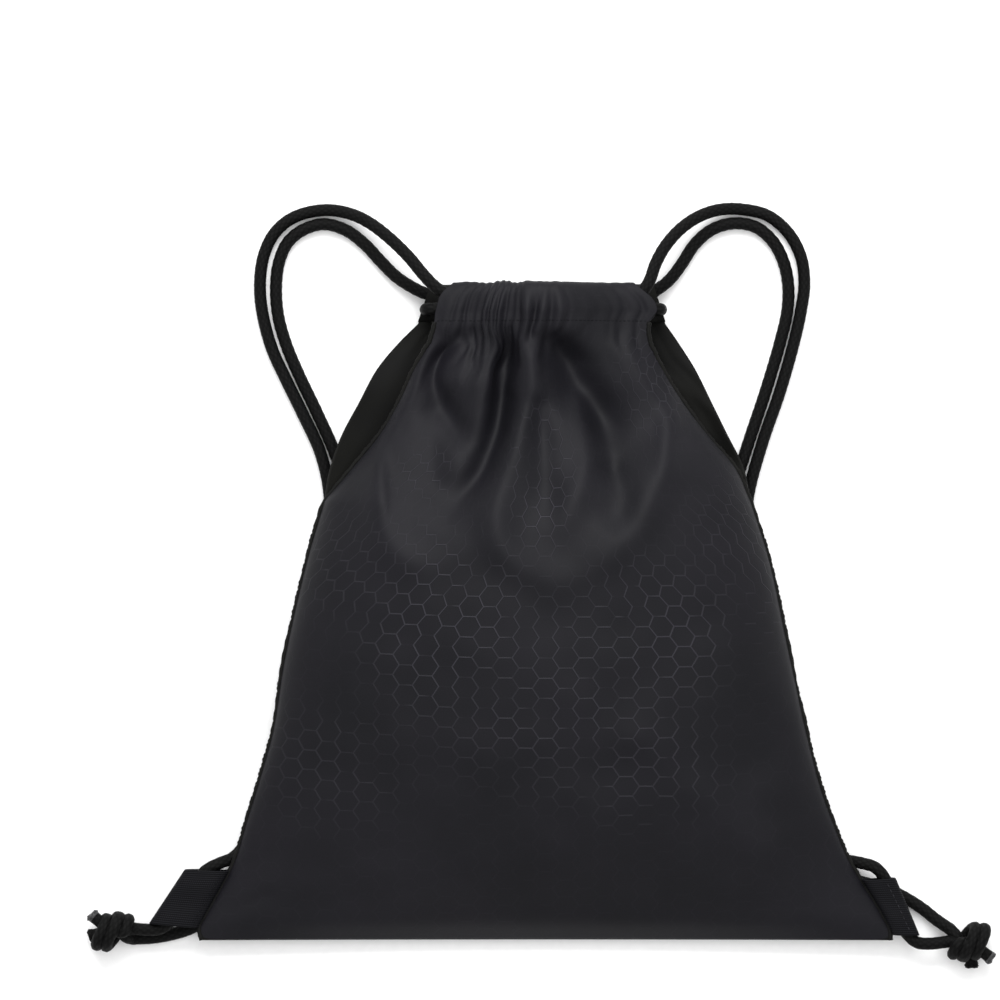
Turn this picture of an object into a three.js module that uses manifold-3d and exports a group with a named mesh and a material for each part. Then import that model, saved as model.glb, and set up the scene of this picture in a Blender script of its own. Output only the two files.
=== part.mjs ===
// Drawstring helmet bag of hexagon-embossed cloth, lying on its back with the front panel up.
// Millimetres. X runs across the bag, Y from the bottom seam up to the hem, Z up from the surface.
import * as THREE from 'three';
import { mergeVertices } from 'three/addons/utils/BufferGeometryUtils.js';
import Module from 'manifold-3d';

// Bag body
const BOTTOM_WIDTH = 450; // across the two bottom corners
const PANEL_HEIGHT = 394; // from the bottom seam to the hem
const CROWN = 80; // highest point of the front panel above the surface
const CLOTH = 1.2; // wall of both panels and of the hems
const BOTTOM_SEAM_RISE = 7; // height of the bottom seam at its middle
const SIDE_SEAM_RISE = 26; // height of the side seams where the vents begin
const VENT_LENGTH = 113; // slit beside the neck, from the hem down to the side seam
const NECK_INSET = 6; // the panel's top edge stops this far inside each end of the hem
const SEAM_FADE = 60; // above the bottom seam its dip in the middle fades out over this height
const BACK_CURL = 45; // height over which the back panel rises to the bottom seam
const HEM_BLEND = 45; // the panels run into the hems over this height
const GAP = 0.3; // between pieces that are sewn to or lie on each other
const DOME_SPREAD = 2.2; // exponent of the way out from the middle: more is a wider flat crown
const DOME_FALL = 0.6; // exponent of the crown's fall towards its edges: less is steeper there
const RIM_FADE = 8; // folds fade out over 1 / this of half the panel's width at each side
const BACK_FLAT = 0.45; // share of the back panel's half width that lies flat on the surface
const BACK_EDGE_POWER = 1.8; // exponent of the back panel's rise to its side seams
const BACK_FOOT_POWER = 2.4; // exponent of its rise to the bottom seam
const ROW_POWER = 1.35; // exponent that crowds the rows of a panel's grid near the bottom seam
const COLUMN_EVEN = 0.6; // share of the evenly spaced part in the columns of a panel's grid
const FRONT_OVER_HEM = 0.3; // the front panel meets its hem this share of the tunnel above middle
const BACK_UNDER_HEM = 0.6; // the back panel meets its hem this share of the tunnel below middle
const FOLD_FADE = 0.5; // share of a fold's depth that is lost from its top to its foot
const FOLD_STEPS = 16;
const SLOPE_STEP = 0.01; // step across the grid and along it at which a wall's slope is taken
const SLOPE_RISE = 1;

// Hems with the two cords inside
const HEM_LENGTH = 138;
const HEM_WIDTH = 25;
const MOUTH = 8; // slit between the front and the back hem
const MOUTH_SLANT = 1; // how far the upper half of a hem's end is cut back, per unit of width
const GATHERS = 15; // gathers along one hem
const GATHER = 2; // height of the highest gather
const GATHER_RUN = 55; // length over which the gathers run out on the panels
const MOUTH_CUT_POWER = 6; // exponent that keeps the slanted cut to the hem's two ends
const GATHER_PINCH = 0.4; // a hem's edge draws in by this share of each gather's height

// Cords
const CORD = 8;
const CORD_SIDES = 8;
const CORD_PLAY = 0.9; // radial play inside the hems and the tabs
const CORD_SPACE = 0.6; // between the two cords inside a hem
const LANE_STEPS = 10;
const EXIT_RUN = 21; // the free strand begins this far inside the end of the hem
const BIGHT_REACH = 4; // how far the middle line of a bight stands out of the hem
const BIGHT_LEAD = 0.8; // straight run of a bight at each of its ends
const BIGHT_STEPS = 6;
const BIGHT_ROUNDNESS = 0.8; // exponent of a bight's turn: 1 is an ellipse, less is squarer

// Webbing tabs at the bottom corners
const WEBBING = 1.4;
const TAB_WIDTH = 38;
const TAB_ROOT = 2.5; // flat sewn end of the loop, beside the seam
const TAB_STATIONS = 5;

// Knots
const KNOT_LENGTH = 31;
const KNOT_WIDTH = 27;
const KNOT_HEIGHT = 25;
const TAIL_LENGTH = 19;
const TURN_LEAN = 0.35; // angle in radians between each turn of cord and the knot's cross section
const TURN_SPACING = 0.55; // distance of the turns from the middle, as a share of the knot's end

const SUPERELLIPSE = 3; // exponent of the hem and tab sections: 2 is an ellipse, more is squarer
const RING_POINTS = 12;
const COLUMNS = 30;
const BACK_COLUMNS = 20;
const SEAM_ROWS_COUNT = 13;
const VENT_ROWS_COUNT = 7;

// Seamed stretch. at: share of the side seam's height. left, right: share of the way out from
// the neck's edge to the bottom corner. rise: seam height as a share of SIDE_SEAM_RISE.
// crown: share of CROWN.
const SEAM_ROWS = [
  { at: 0.0, left: 1.0, right: 1.0, rise: 0.54, crown: 0.1 },
  { at: 0.045, left: 0.955, right: 0.96, rise: 0.54, crown: 0.28 },
  { at: 0.089, left: 0.915, right: 0.92, rise: 0.54, crown: 0.375 },
  { at: 0.181, left: 0.84, right: 0.834, rise: 0.57, crown: 0.55 },
  { at: 0.274, left: 0.791, right: 0.766, rise: 0.7, crown: 0.68 },
  { at: 0.363, left: 0.742, right: 0.711, rise: 0.85, crown: 0.775 },
  { at: 0.502, left: 0.674, right: 0.649, rise: 0.96, crown: 0.9 },
  { at: 0.683, left: 0.612, right: 0.581, rise: 1.0, crown: 0.98 },
  { at: 0.865, left: 0.538, right: 0.513, rise: 1.0, crown: 1.0 },
  { at: 1.0, left: 0.47, right: 0.439, rise: 1.0, crown: 0.95 },
];

// Vent stretch. at: share of VENT_LENGTH. The back panel stands out beside the front panel.
const VENT_ROWS = [
  { at: 0.0, left: 0.47, right: 0.439, backLeft: 0.47, backRight: 0.439, rise: 1.0, crown: 0.95 },
  { at: 0.168, left: 0.37, right: 0.375, backLeft: 0.451, backRight: 0.405, rise: 0.93, crown: 0.89 },
  { at: 0.372, left: 0.253, right: 0.253, backLeft: 0.402, backRight: 0.334, rise: 0.78, crown: 0.81 },
  { at: 0.558, left: 0.176, right: 0.155, backLeft: 0.334, backRight: 0.272, rise: 0.62, crown: 0.74 },
  { at: 0.743, left: 0.117, right: 0.075, backLeft: 0.266, backRight: 0.21, rise: 0.46, crown: 0.67 },
  { at: 0.885, left: 0.056, right: 0.025, backLeft: 0.185, backRight: 0.148, rise: 0.36, crown: 0.62 },
  { at: 1.0, left: 0.0, right: 0.0, backLeft: 0.105, backRight: 0.093, rise: 0.3, crown: 0.59 },
];

// Folds of the front panel, each along a curve from its top over its middle to its foot.
// x: share of half BOTTOM_WIDTH. y: share of PANEL_HEIGHT. depth: share of CROWN, positive for
// a ridge and negative for a valley. width: share of BOTTOM_WIDTH.
const FOLDS = [
  {
    topX: -0.17, topY: 0.985, midX: -0.33, midY: 0.93, footX: -0.22, footY: 0.79,
    depth: -0.09, width: 0.028,
  },
  { topX: -0.12, topY: 1.0, midX: -0.08, midY: 0.86, footX: -0.25, footY: 0.67, depth: -0.13, width: 0.03 },
  { topX: -0.08, topY: 1.0, midX: -0.01, midY: 0.88, footX: -0.11, footY: 0.68, depth: 0.09, width: 0.028 },
  { topX: 0.0, topY: 1.0, midX: 0.13, midY: 0.88, footX: 0.21, footY: 0.74, depth: -0.12, width: 0.04 },
  { topX: 0.06, topY: 0.99, midX: 0.48, midY: 0.8, footX: 0.16, footY: 0.6, depth: 0.08, width: 0.036 },
  { topX: 0.09, topY: 0.86, midX: 0.15, midY: 0.74, footX: 0.06, footY: 0.63, depth: 0.05, width: 0.026 },
  { topX: 0.25, topY: 1.0, midX: 0.29, midY: 0.96, footX: 0.27, footY: 0.9, depth: -0.05, width: 0.022 },
];

// Height of the gathers along a hem. at: share of half HEM_LENGTH. height: share of GATHER.
const GATHER_ROWS = [
  { at: -1.0, height: 0.3 },
  { at: -0.75, height: 0.7 },
  { at: -0.5, height: 0.6 },
  { at: -0.25, height: 1.0 },
  { at: 0.0, height: 0.9 },
  { at: 0.25, height: 0.45 },
  { at: 0.6, height: 0.3 },
  { at: 0.85, height: 0.6 },
  { at: 1.0, height: 0.3 },
];

// Tabs. root and fold: heights of their two ends above the bottom seam. out: how far the fold's
// two corners stand out from the seam. All are shares of TAB_WIDTH, the upper end first.
const TABS = [
  { name: 'left_tab', side: -1, root: [1.2, 0.24], fold: [1.22, 0.32], out: [0.76, 0.86] },
  { name: 'right_tab', side: 1, root: [1.05, 0.12], fold: [1.08, 0.12], out: [0.6, 0.45] },
];

// Routes of the four free strands after they leave the hems, chosen by hand, x, y, z.
const ROUTES = {
  right_front: [
    [56.5, 410.7, 33.2], [62, 413, 32.6], [67, 420, 31.6], [71, 431, 28.8], [77, 442, 25.4],
    [87, 453.6, 20], [99, 462, 14.4], [112, 466.6, 9], [126, 467.4, 5.2], [143.5, 463.4, 4.1],
    [157, 452, 4.1], [164.8, 437, 4.1], [167, 420, 4.1], [165, 403.5, 4.1], [160.8, 384, 4.1],
    [151.5, 351, 4.1], [140, 317.5, 4.1], [131, 283, 4.1], [128.5, 245, 4.1], [135, 200, 4.1],
    [147, 150, 4.1], [165, 98, 4.1], [180, 66.6, 4.4], [191.4, 52.8, 6.4], [203, 50, 11.2],
    [211.2, 47.6, 14.2], [217.4, 40.8, 14.6], [222, 28, 14.6], [227, 13.6, 14.6], [231.6, 5.4, 14.6],
    [238, -0.2, 14.2], [246, -1.2, 13.4], [256.2, -0.2, 12.6],
  ],
  right_back: [
    [57.5, 410.9, 8.3], [66, 412.4, 8], [74, 416.6, 7.4], [81.5, 423, 6.6], [89, 433, 5.4],
    [97, 445, 4.4], [108, 454.4, 4.1], [122, 458.4, 4.1], [136, 456, 4.1], [147, 446.6, 4.1],
    [153.6, 434, 4.1], [156.6, 420, 4.1], [156.2, 403, 4.1], [152, 384, 4.1], [142.6, 352, 4.1],
    [130.3, 315, 4.1], [120, 280, 4.1], [117.5, 245, 4.1], [124, 205, 4.1], [135, 155, 4.1],
    [152, 103, 4.1], [172, 58, 4.1], [186, 42.5, 4.1], [205, 37, 4.1], [220, 33, 4.1],
    [233, 26.4, 4.1], [243, 20, 5], [250, 14.4, 6.8], [257.6, 9, 9],
  ],
  left_front: [
    [-56.5, 410.9, 32.7], [-62.5, 412.6, 32.3], [-69, 417, 31.4], [-76.5, 425, 28.8],
    [-85, 435.4, 25.6], [-97, 447.4, 20.8], [-110, 457.6, 15], [-122, 463.8, 9.6],
    [-136.5, 466.8, 5.2], [-151, 465.2, 4.1], [-163, 460, 4.1], [-172.4, 451, 4.1],
    [-178.4, 438, 4.1], [-180.8, 422, 4.1], [-179.8, 404, 4.1], [-173.7, 379.5, 4.1],
    [-164.8, 359.6, 4.1], [-153.8, 337.2, 4.1], [-142, 311, 4.1], [-136.4, 283, 4.1],
    [-138.5, 250, 4.1], [-147, 200, 4.1], [-159, 150, 4.1], [-174, 102, 4.1], [-187, 67, 4.8],
    [-197.6, 53.6, 8.4], [-206, 50.2, 13], [-214, 46.2, 14.6], [-221.6, 38, 14.6], [-228.4, 27, 14.6],
    [-233.8, 18.4, 14.6], [-238.6, 12, 14.6], [-244.6, 8.4, 14], [-251.4, 7.8, 13.2], [-259, 8.2, 12.6],
  ],
  left_back: [
    [-57.5, 410.9, 7.8], [-66, 411.6, 7.9], [-75, 413.4, 7.8], [-84, 417.6, 7.2],
    [-94, 424.4, 6], [-104, 434.4, 4.6], [-114, 445, 4.1], [-126, 454, 4.1], [-140, 457.8, 4.1],
    [-153, 454.4, 4.1], [-163, 446.4, 4.1], [-168.6, 434, 4.1], [-170.6, 419, 4.1],
    [-169.4, 400, 4.1], [-164.2, 381, 4.1], [-156, 361.5, 4.1], [-144.8, 338, 4.1],
    [-132.9, 311, 4.1], [-124.6, 283, 4.1], [-125, 250, 4.1], [-134, 200, 4.1], [-146, 150, 4.1],
    [-161, 102, 4.1], [-178, 62, 4.1], [-196, 36, 4.1], [-210, 19, 4.1], [-224, 8.4, 4.1],
    [-239, 3.6, 4.1], [-250.6, 1.8, 4.6], [-259.4, 1.4, 5.4],
  ],
};

// Knots. x, y: place of the middle. turn: direction of the knot in degrees. tails: directions
// of the lower and the upper tail in degrees.
const KNOTS = [
  { name: 'left_knot', x: -275, y: 6.4, turn: 176, tails: [140, 186] },
  { name: 'right_knot', x: 272, y: 0, turn: -4, tails: [-60, -28] },
];
const TAIL_LIFTS = [0.3, 0.42]; // height of each tail above the surface, as a share of KNOT_HEIGHT

const HALF_HEM = HEM_LENGTH / 2;
const NECK_HALF = HALF_HEM - NECK_INSET;
const SPREAD = BOTTOM_WIDTH / 2 - NECK_HALF;
const SEAM_HEIGHT = PANEL_HEIGHT - VENT_LENGTH;
const HEM_MIDDLE = PANEL_HEIGHT + GAP + HEM_WIDTH / 2;
const BAG_HEIGHT = PANEL_HEIGHT + GAP + HEM_WIDTH;
const TUNNEL = CORD / 2 + CORD_PLAY;
const LANE = (CORD + CORD_SPACE) / 2;
const TAB_HALF_HEIGHT = TUNNEL + WEBBING;
const TAB_MIDDLE = CORD + GAP + TAB_HALF_HEIGHT;

const clothFinish = { color: 0x2b2a2f, roughness: 0.55, metalness: 0 };
const liningFinish = { color: 0x262625, roughness: 0.75, metalness: 0 };
const webbingFinish = { color: 0x222126, roughness: 0.8, metalness: 0 };
const cordFinish = { color: 0x181818, roughness: 0.85, metalness: 0 };

const clamp = (value) => Math.min(1, Math.max(0, value));
const smooth = (value) => clamp(value) ** 2 * (3 - 2 * clamp(value));
const mix = (a, b, share) => a + (b - a) * share;

// Smooth curve through one column of a table, as a cubic whose slopes come from its neighbours.
function lookUp(rows, column, at) {
  const last = rows.length - 1;
  let k = 0;
  while (k < last - 1 && at > rows[k + 1].at) k += 1;
  const slope = (i) => {
    const low = rows[Math.max(0, i - 1)];
    const high = rows[Math.min(last, i + 1)];
    return (high[column] - low[column]) / (high.at - low.at);
  };
  const span = rows[k + 1].at - rows[k].at;
  const u = clamp((at - rows[k].at) / span);
  const start = rows[k][column];
  const end = rows[k + 1][column];
  const a = slope(k) * span;
  const b = slope(k + 1) * span;
  return start + u * (a + u * (3 * (end - start) - 2 * a - b + u * (a + b - 2 * (end - start))));
}

function tableValue(column, y) {
  if (y <= SEAM_HEIGHT) return lookUp(SEAM_ROWS, column, y / SEAM_HEIGHT);
  return lookUp(VENT_ROWS, column, (y - SEAM_HEIGHT) / VENT_LENGTH);
}

// Half width of a panel at a height, on the left (side -1) or the right (side 1).
function halfWidth(side, y, isBack) {
  const inVent = isBack && y > SEAM_HEIGHT;
  const leftColumn = inVent ? 'backLeft' : 'left';
  const rightColumn = inVent ? 'backRight' : 'right';
  return NECK_HALF + SPREAD * tableValue(side < 0 ? leftColumn : rightColumn, y);
}

// The two cords change sides inside the hem: angle of the pair at a place along the hem.
function twistAt(x) {
  return (Math.PI / 2) * (1 - Math.sin((Math.PI / 2) * Math.max(-1, Math.min(1, x / HALF_HEM))));
}

// Half height of the hem's tunnel, which is fuller where one cord lies over the other.
const tunnelHeight = (x) => TUNNEL + LANE * Math.sin(twistAt(x));
const backHemMiddle = (x) => tunnelHeight(x) + CLOTH + GATHER;
const frontHemMiddle = (x) => backHemMiddle(x) + 2 * (tunnelHeight(x) + CLOTH + GATHER) + MOUTH;

// Height of the seam line around the panels. t runs from -1 at the left edge to 1 at the right.
function seamHeight(t, y) {
  const side = SIDE_SEAM_RISE * tableValue('rise', y);
  const dip = (side - BOTTOM_SEAM_RISE) * (1 - t * t) * clamp(1 - y / SEAM_FADE);
  return side - dip;
}

// Front edge of the vent: it climbs from the side seam to the front hem.
function frontEdgeHeight(t, y) {
  if (y <= SEAM_HEIGHT) return seamHeight(t, y);
  return mix(SIDE_SEAM_RISE, frontHemMiddle(HALF_HEM), smooth((y - SEAM_HEIGHT) / VENT_LENGTH));
}

function foldHeight(x, y) {
  let height = 0;
  for (const fold of FOLDS) {
    const point = (px, py) => new THREE.Vector2((px * BOTTOM_WIDTH) / 2, py * PANEL_HEIGHT);
    const curve = new THREE.QuadraticBezierCurve(
      point(fold.topX, fold.topY),
      point(fold.midX, fold.midY),
      point(fold.footX, fold.footY),
    );
    let nearest = Infinity;
    let share = 0;
    for (const [i, place] of curve.getPoints(FOLD_STEPS).entries()) {
      const distance = Math.hypot(place.x - x, place.y - y);
      if (distance < nearest) {
        nearest = distance;
        share = i / FOLD_STEPS;
      }
    }
    const reach = nearest / (fold.width * BOTTOM_WIDTH);
    height += fold.depth * CROWN * Math.exp(-reach * reach) * (1 - FOLD_FADE * share);
  }
  return height;
}

const gatherShare = (x) => lookUp(GATHER_ROWS, 'height', Math.max(-1, Math.min(1, x / HALF_HEM)));

// Depth of the gathers on a panel: every second column is drawn in near the hem.
function panelGather(s, x, y, columns) {
  const valley = (1 - Math.cos((Math.PI * columns * (s + 1)) / 2)) / 2;
  const scale = HALF_HEM / NECK_HALF;
  return GATHER * valley * gatherShare(x * scale) * smooth(1 - (PANEL_HEIGHT - y) / GATHER_RUN);
}

const columnPlace = (s) => mix(Math.sin((Math.PI * s) / 2), s, COLUMN_EVEN);

function frontPoint(s, y) {
  const t = columnPlace(s);
  const x = t * halfWidth(t, y, false);
  const edge = frontEdgeHeight(t, y);
  const puff = CROWN * tableValue('crown', y) - frontEdgeHeight(0, y);
  const dome = (1 - Math.abs(t) ** DOME_SPREAD) ** DOME_FALL;
  const rim = smooth(RIM_FADE * (1 - Math.abs(t)));
  const open = edge + puff * dome + rim * foldHeight(x, y) * smooth(y / SEAM_FADE);
  const hem = frontHemMiddle(x) + FRONT_OVER_HEM * tunnelHeight(x);
  const z = mix(open, hem, smooth(1 - (PANEL_HEIGHT - y) / HEM_BLEND));
  return new THREE.Vector3(x, y, z + GAP);
}

function backPoint(s, y) {
  const t = columnPlace(s);
  const x = t * halfWidth(t, y, true);
  const edge = clamp((Math.abs(t) - BACK_FLAT) / (1 - BACK_FLAT)) ** BACK_EDGE_POWER;
  const foot = clamp((BACK_CURL - y) / BACK_CURL) ** BACK_FOOT_POWER;
  const open = seamHeight(t, y) * (1 - (1 - edge) * (1 - foot));
  const hem = backHemMiddle(x) - BACK_UNDER_HEM * tunnelHeight(x);
  return new THREE.Vector3(x, y, mix(open, hem, smooth(1 - (PANEL_HEIGHT - y) / HEM_BLEND)));
}

// Outward direction of the panel's wall at one grid point. At a sewn rim it lies flat and at
// right angles to the seam, so the two panels' rims face each other.
function wallDirection(pointAt, s, y, facing) {
  const lowY = Math.max(0, y - SLOPE_RISE);
  const highY = Math.min(PANEL_HEIGHT, y + SLOPE_RISE);
  const along = pointAt(s, highY).sub(pointAt(s, lowY));
  const isBottom = y === 0;
  if (Math.abs(s) === 1) {
    const side = new THREE.Vector3(along.y * s, -along.x * s, 0).normalize();
    if (y === PANEL_HEIGHT) return new THREE.Vector3(s, 0, 0);
    if (!isBottom) return side;
    const down = new THREE.Vector3(0, -1, 0);
    const turn = 1 + side.dot(down);
    return side.add(down).divideScalar(turn);
  }
  if (isBottom) return new THREE.Vector3(0, -1, 0);
  const across = pointAt(s + SLOPE_STEP, y).sub(pointAt(s - SLOPE_STEP, y));
  const normal = across.cross(along).multiplyScalar(facing);
  if (y === PANEL_HEIGHT) normal.y = 0;
  return normal.normalize();
}

// Closed mesh from points and faces.
function solidMesh(points, faces) {
  const geometry = new THREE.BufferGeometry();
  const numbers = points.flatMap((p) => [p.x, p.y, p.z]);
  geometry.setAttribute('position', new THREE.Float32BufferAttribute(numbers, 3));
  geometry.setIndex(faces.flat());
  return geometry;
}

const quad = (a, b, c, d) => [[a, b, c], [a, c, d]];

// A cloth panel: an outer and an inner grid joined all round their rims.
function panel(pointAt, gatherAt, columns, facing) {
  const heights = [];
  for (let i = 0; i <= SEAM_ROWS_COUNT; i += 1) {
    heights.push(SEAM_HEIGHT * (i / SEAM_ROWS_COUNT) ** ROW_POWER);
  }
  for (let i = 1; i <= VENT_ROWS_COUNT; i += 1) {
    heights.push(SEAM_HEIGHT + (VENT_LENGTH * i) / VENT_ROWS_COUNT);
  }
  heights[heights.length - 1] = PANEL_HEIGHT;
  const outer = [];
  const inner = [];
  for (const y of heights) {
    for (let j = 0; j <= columns; j += 1) {
      const s = (2 * j) / columns - 1;
      const point = pointAt(s, y);
      const wall = wallDirection(pointAt, s, y, facing).multiplyScalar(-CLOTH);
      point.z += gatherAt(s, point.x, y);
      outer.push(point);
      inner.push(point.clone().add(wall));
    }
  }
  const rows = heights.length - 1;
  const wide = columns + 1;
  const shift = outer.length;
  const faces = [];
  const add = (a, b, c, d) => faces.push(...(facing > 0 ? quad(a, b, c, d) : quad(d, c, b, a)));
  for (let i = 0; i < rows; i += 1) {
    for (let j = 0; j < columns; j += 1) {
      const a = i * wide + j;
      add(a, a + 1, a + wide + 1, a + wide);
      add(shift + a, shift + a + wide, shift + a + wide + 1, shift + a + 1);
    }
    const left = i * wide;
    const right = left + columns;
    add(left, left + wide, shift + left + wide, shift + left);
    add(right, shift + right, shift + right + wide, right + wide);
  }
  for (let j = 0; j < columns; j += 1) {
    const top = rows * wide + j;
    add(j, shift + j, shift + j + 1, j + 1);
    add(top, top + 1, shift + top + 1, shift + top);
  }
  return solidMesh([...outer, ...inner], faces);
}

// A hollow sleeve: pairs of outer and inner rings joined along the sleeve and round both ends.
function sleeve(stations) {
  const points = stations.flatMap((station) => [...station.outer, ...station.inner]);
  const count = RING_POINTS;
  const faces = [];
  const out = (k, i) => k * 2 * count + (i % count);
  const inside = (k, i) => out(k, i) + count;
  const last = stations.length - 1;
  for (let i = 0; i < count; i += 1) {
    for (let k = 0; k < last; k += 1) {
      faces.push(...quad(out(k, i), out(k, i + 1), out(k + 1, i + 1), out(k + 1, i)));
      faces.push(...quad(inside(k, i), inside(k + 1, i), inside(k + 1, i + 1), inside(k, i + 1)));
    }
    faces.push(...quad(out(0, i), inside(0, i), inside(0, i + 1), out(0, i + 1)));
    faces.push(...quad(out(last, i), out(last, i + 1), inside(last, i + 1), inside(last, i)));
  }
  return solidMesh(points, faces);
}

// Points of a rounded section, width a and height b to each side of its middle.
function sectionPoints(a, b) {
  const points = [];
  const power = 2 / SUPERELLIPSE;
  for (let i = 0; i < RING_POINTS; i += 1) {
    const angle = (2 * Math.PI * i) / RING_POINTS;
    const u = Math.cos(angle);
    const v = Math.sin(angle);
    const across = a * Math.sign(u) * Math.abs(u) ** power;
    const up = b * Math.sign(v) * Math.abs(v) ** power;
    points.push(new THREE.Vector2(across, up));
  }
  return points;
}

function hem(middleAt) {
  const stations = [];
  for (let k = 0; k <= 2 * GATHERS; k += 1) {
    const x = -HALF_HEM + (HALF_HEM * k) / GATHERS;
    const gather = k % 2 === 1 ? GATHER * gatherShare(x) : 0;
    const cut = MOUTH_SLANT * Math.sign(x) * Math.abs(x / HALF_HEM) ** MOUTH_CUT_POWER;
    const place = (p) => new THREE.Vector3(x - cut * Math.max(0, p.x), HEM_MIDDLE + p.x, middleAt(x) + p.y);
    const ring = (a, b) => sectionPoints(a, b).map(place);
    const pinch = GATHER_PINCH * gather;
    stations.push({
      outer: ring(HEM_WIDTH / 2 - pinch, tunnelHeight(x) + CLOTH + gather),
      inner: ring(HEM_WIDTH / 2 - CLOTH - pinch, tunnelHeight(x)),
    });
  }
  return sleeve(stations);
}

// Webbing folded into a loop and sewn into the side seam, with room for a cord in the loop.
function tab(row) {
  const seam = (y) => row.side * (halfWidth(row.side, y, false) + GAP);
  const stations = [];
  for (let k = 0; k < TAB_STATIONS; k += 1) {
    const share = k / (TAB_STATIONS - 1);
    const rootY = TAB_WIDTH * mix(...row.root, share);
    const foldY = TAB_WIDTH * mix(...row.fold, share);
    const corners = [0, 1].map((k) => seam(TAB_WIDTH * row.fold[k]) + row.side * TAB_WIDTH * row.out[k]);
    const root = new THREE.Vector3(seam(rootY), rootY, TAB_MIDDLE);
    const fold = new THREE.Vector3(mix(...corners, share), foldY, TAB_MIDDLE);
    const length = root.distanceTo(fold);
    const out = fold.clone().sub(root).normalize();
    const ring = (from, to, height) =>
      sectionPoints((to - from) / 2, height).map((p) => {
        const place = root.clone().addScaledVector(out, (from + to) / 2 + row.side * p.x);
        place.z += p.y;
        return place;
      });
    stations.push({
      outer: ring(0, length, TAB_HALF_HEIGHT),
      inner: ring(TAB_ROOT, length - WEBBING, TUNNEL),
    });
  }
  return sleeve(stations);
}

// A curve whose steps lie at its own points instead of at equal lengths.
class RouteCurve extends THREE.CatmullRomCurve3 {
  getPointAt(share, target) {
    return this.getPoint(share, target);
  }

  getTangentAt(share, target) {
    return this.getTangent(share, target);
  }
}

function cordTube(points) {
  const section = new THREE.Shape();
  for (let i = 0; i < CORD_SIDES; i += 1) {
    const angle = (2 * Math.PI * i) / CORD_SIDES;
    const place = [(CORD / 2) * Math.cos(angle), (CORD / 2) * Math.sin(angle)];
    if (i === 0) section.moveTo(...place);
    else section.lineTo(...place);
  }
  section.closePath();
  const extrudePath = new RouteCurve(points, false, 'centripetal');
  const steps = points.length - 1;
  return new THREE.ExtrudeGeometry(section, { steps, bevelEnabled: false, extrudePath });
}

// Middle line of a cord inside a hem. side is the side on which this cord leaves the bag.
function lanePoint(middleAt, side, x) {
  const twist = twistAt(x);
  const reach = side * LANE;
  return new THREE.Vector3(x, HEM_MIDDLE + reach * Math.cos(twist), middleAt(x) + reach * Math.sin(twist));
}

function lane(middleAt, side) {
  const start = -side * (HALF_HEM + GAP);
  const end = side * (HALF_HEM - EXIT_RUN);
  const points = [];
  for (let k = 0; k <= LANE_STEPS; k += 1) {
    points.push(lanePoint(middleAt, side, mix(start, end, k / LANE_STEPS)));
  }
  return cordTube(points);
}

function strand(middleAt, side, route) {
  const start = side * (HALF_HEM - EXIT_RUN + 2 * GAP);
  const points = [lanePoint(middleAt, side, start), lanePoint(middleAt, side, start + side * (CORD / 2))];
  for (const place of route) points.push(new THREE.Vector3(...place));
  return cordTube(points);
}

// The turn of a cord from the front hem into the back hem, at the side opposite its strands.
function bight(side) {
  const start = -side * (HALF_HEM + 3 * GAP);
  const high = lanePoint(frontHemMiddle, side, start);
  const low = lanePoint(backHemMiddle, side, start);
  const points = [high];
  for (let k = 0; k <= BIGHT_STEPS; k += 1) {
    const angle = Math.PI * (0.5 - k / BIGHT_STEPS);
    const out = Math.max(0, Math.cos(angle)) ** BIGHT_ROUNDNESS;
    const lift = Math.sign(Math.sin(angle)) * Math.abs(Math.sin(angle)) ** BIGHT_ROUNDNESS;
    const z = (high.z + low.z) / 2 + (lift * (high.z - low.z)) / 2;
    points.push(new THREE.Vector3(start - side * (BIGHT_LEAD + BIGHT_REACH * out), high.y, z));
  }
  points.push(low);
  return cordTube(points);
}

const wasm = await Module();
wasm.setup();

function toSolid(geometry) {
  const bare = geometry.clone();
  bare.deleteAttribute('normal');
  bare.deleteAttribute('uv');
  const merged = mergeVertices(bare, 1e-4);
  return new wasm.Manifold(
    new wasm.Mesh({
      numProp: 3,
      vertProperties: new Float32Array(merged.attributes.position.array),
      triVerts: new Uint32Array(merged.index.array),
    }),
  );
}

function toGeometry(solid) {
  const mesh = solid.getMesh();
  const geometry = new THREE.BufferGeometry();
  geometry.setAttribute('position', new THREE.Float32BufferAttribute(mesh.vertProperties, 3));
  geometry.setIndex(Array.from(mesh.triVerts));
  return geometry;
}

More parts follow.
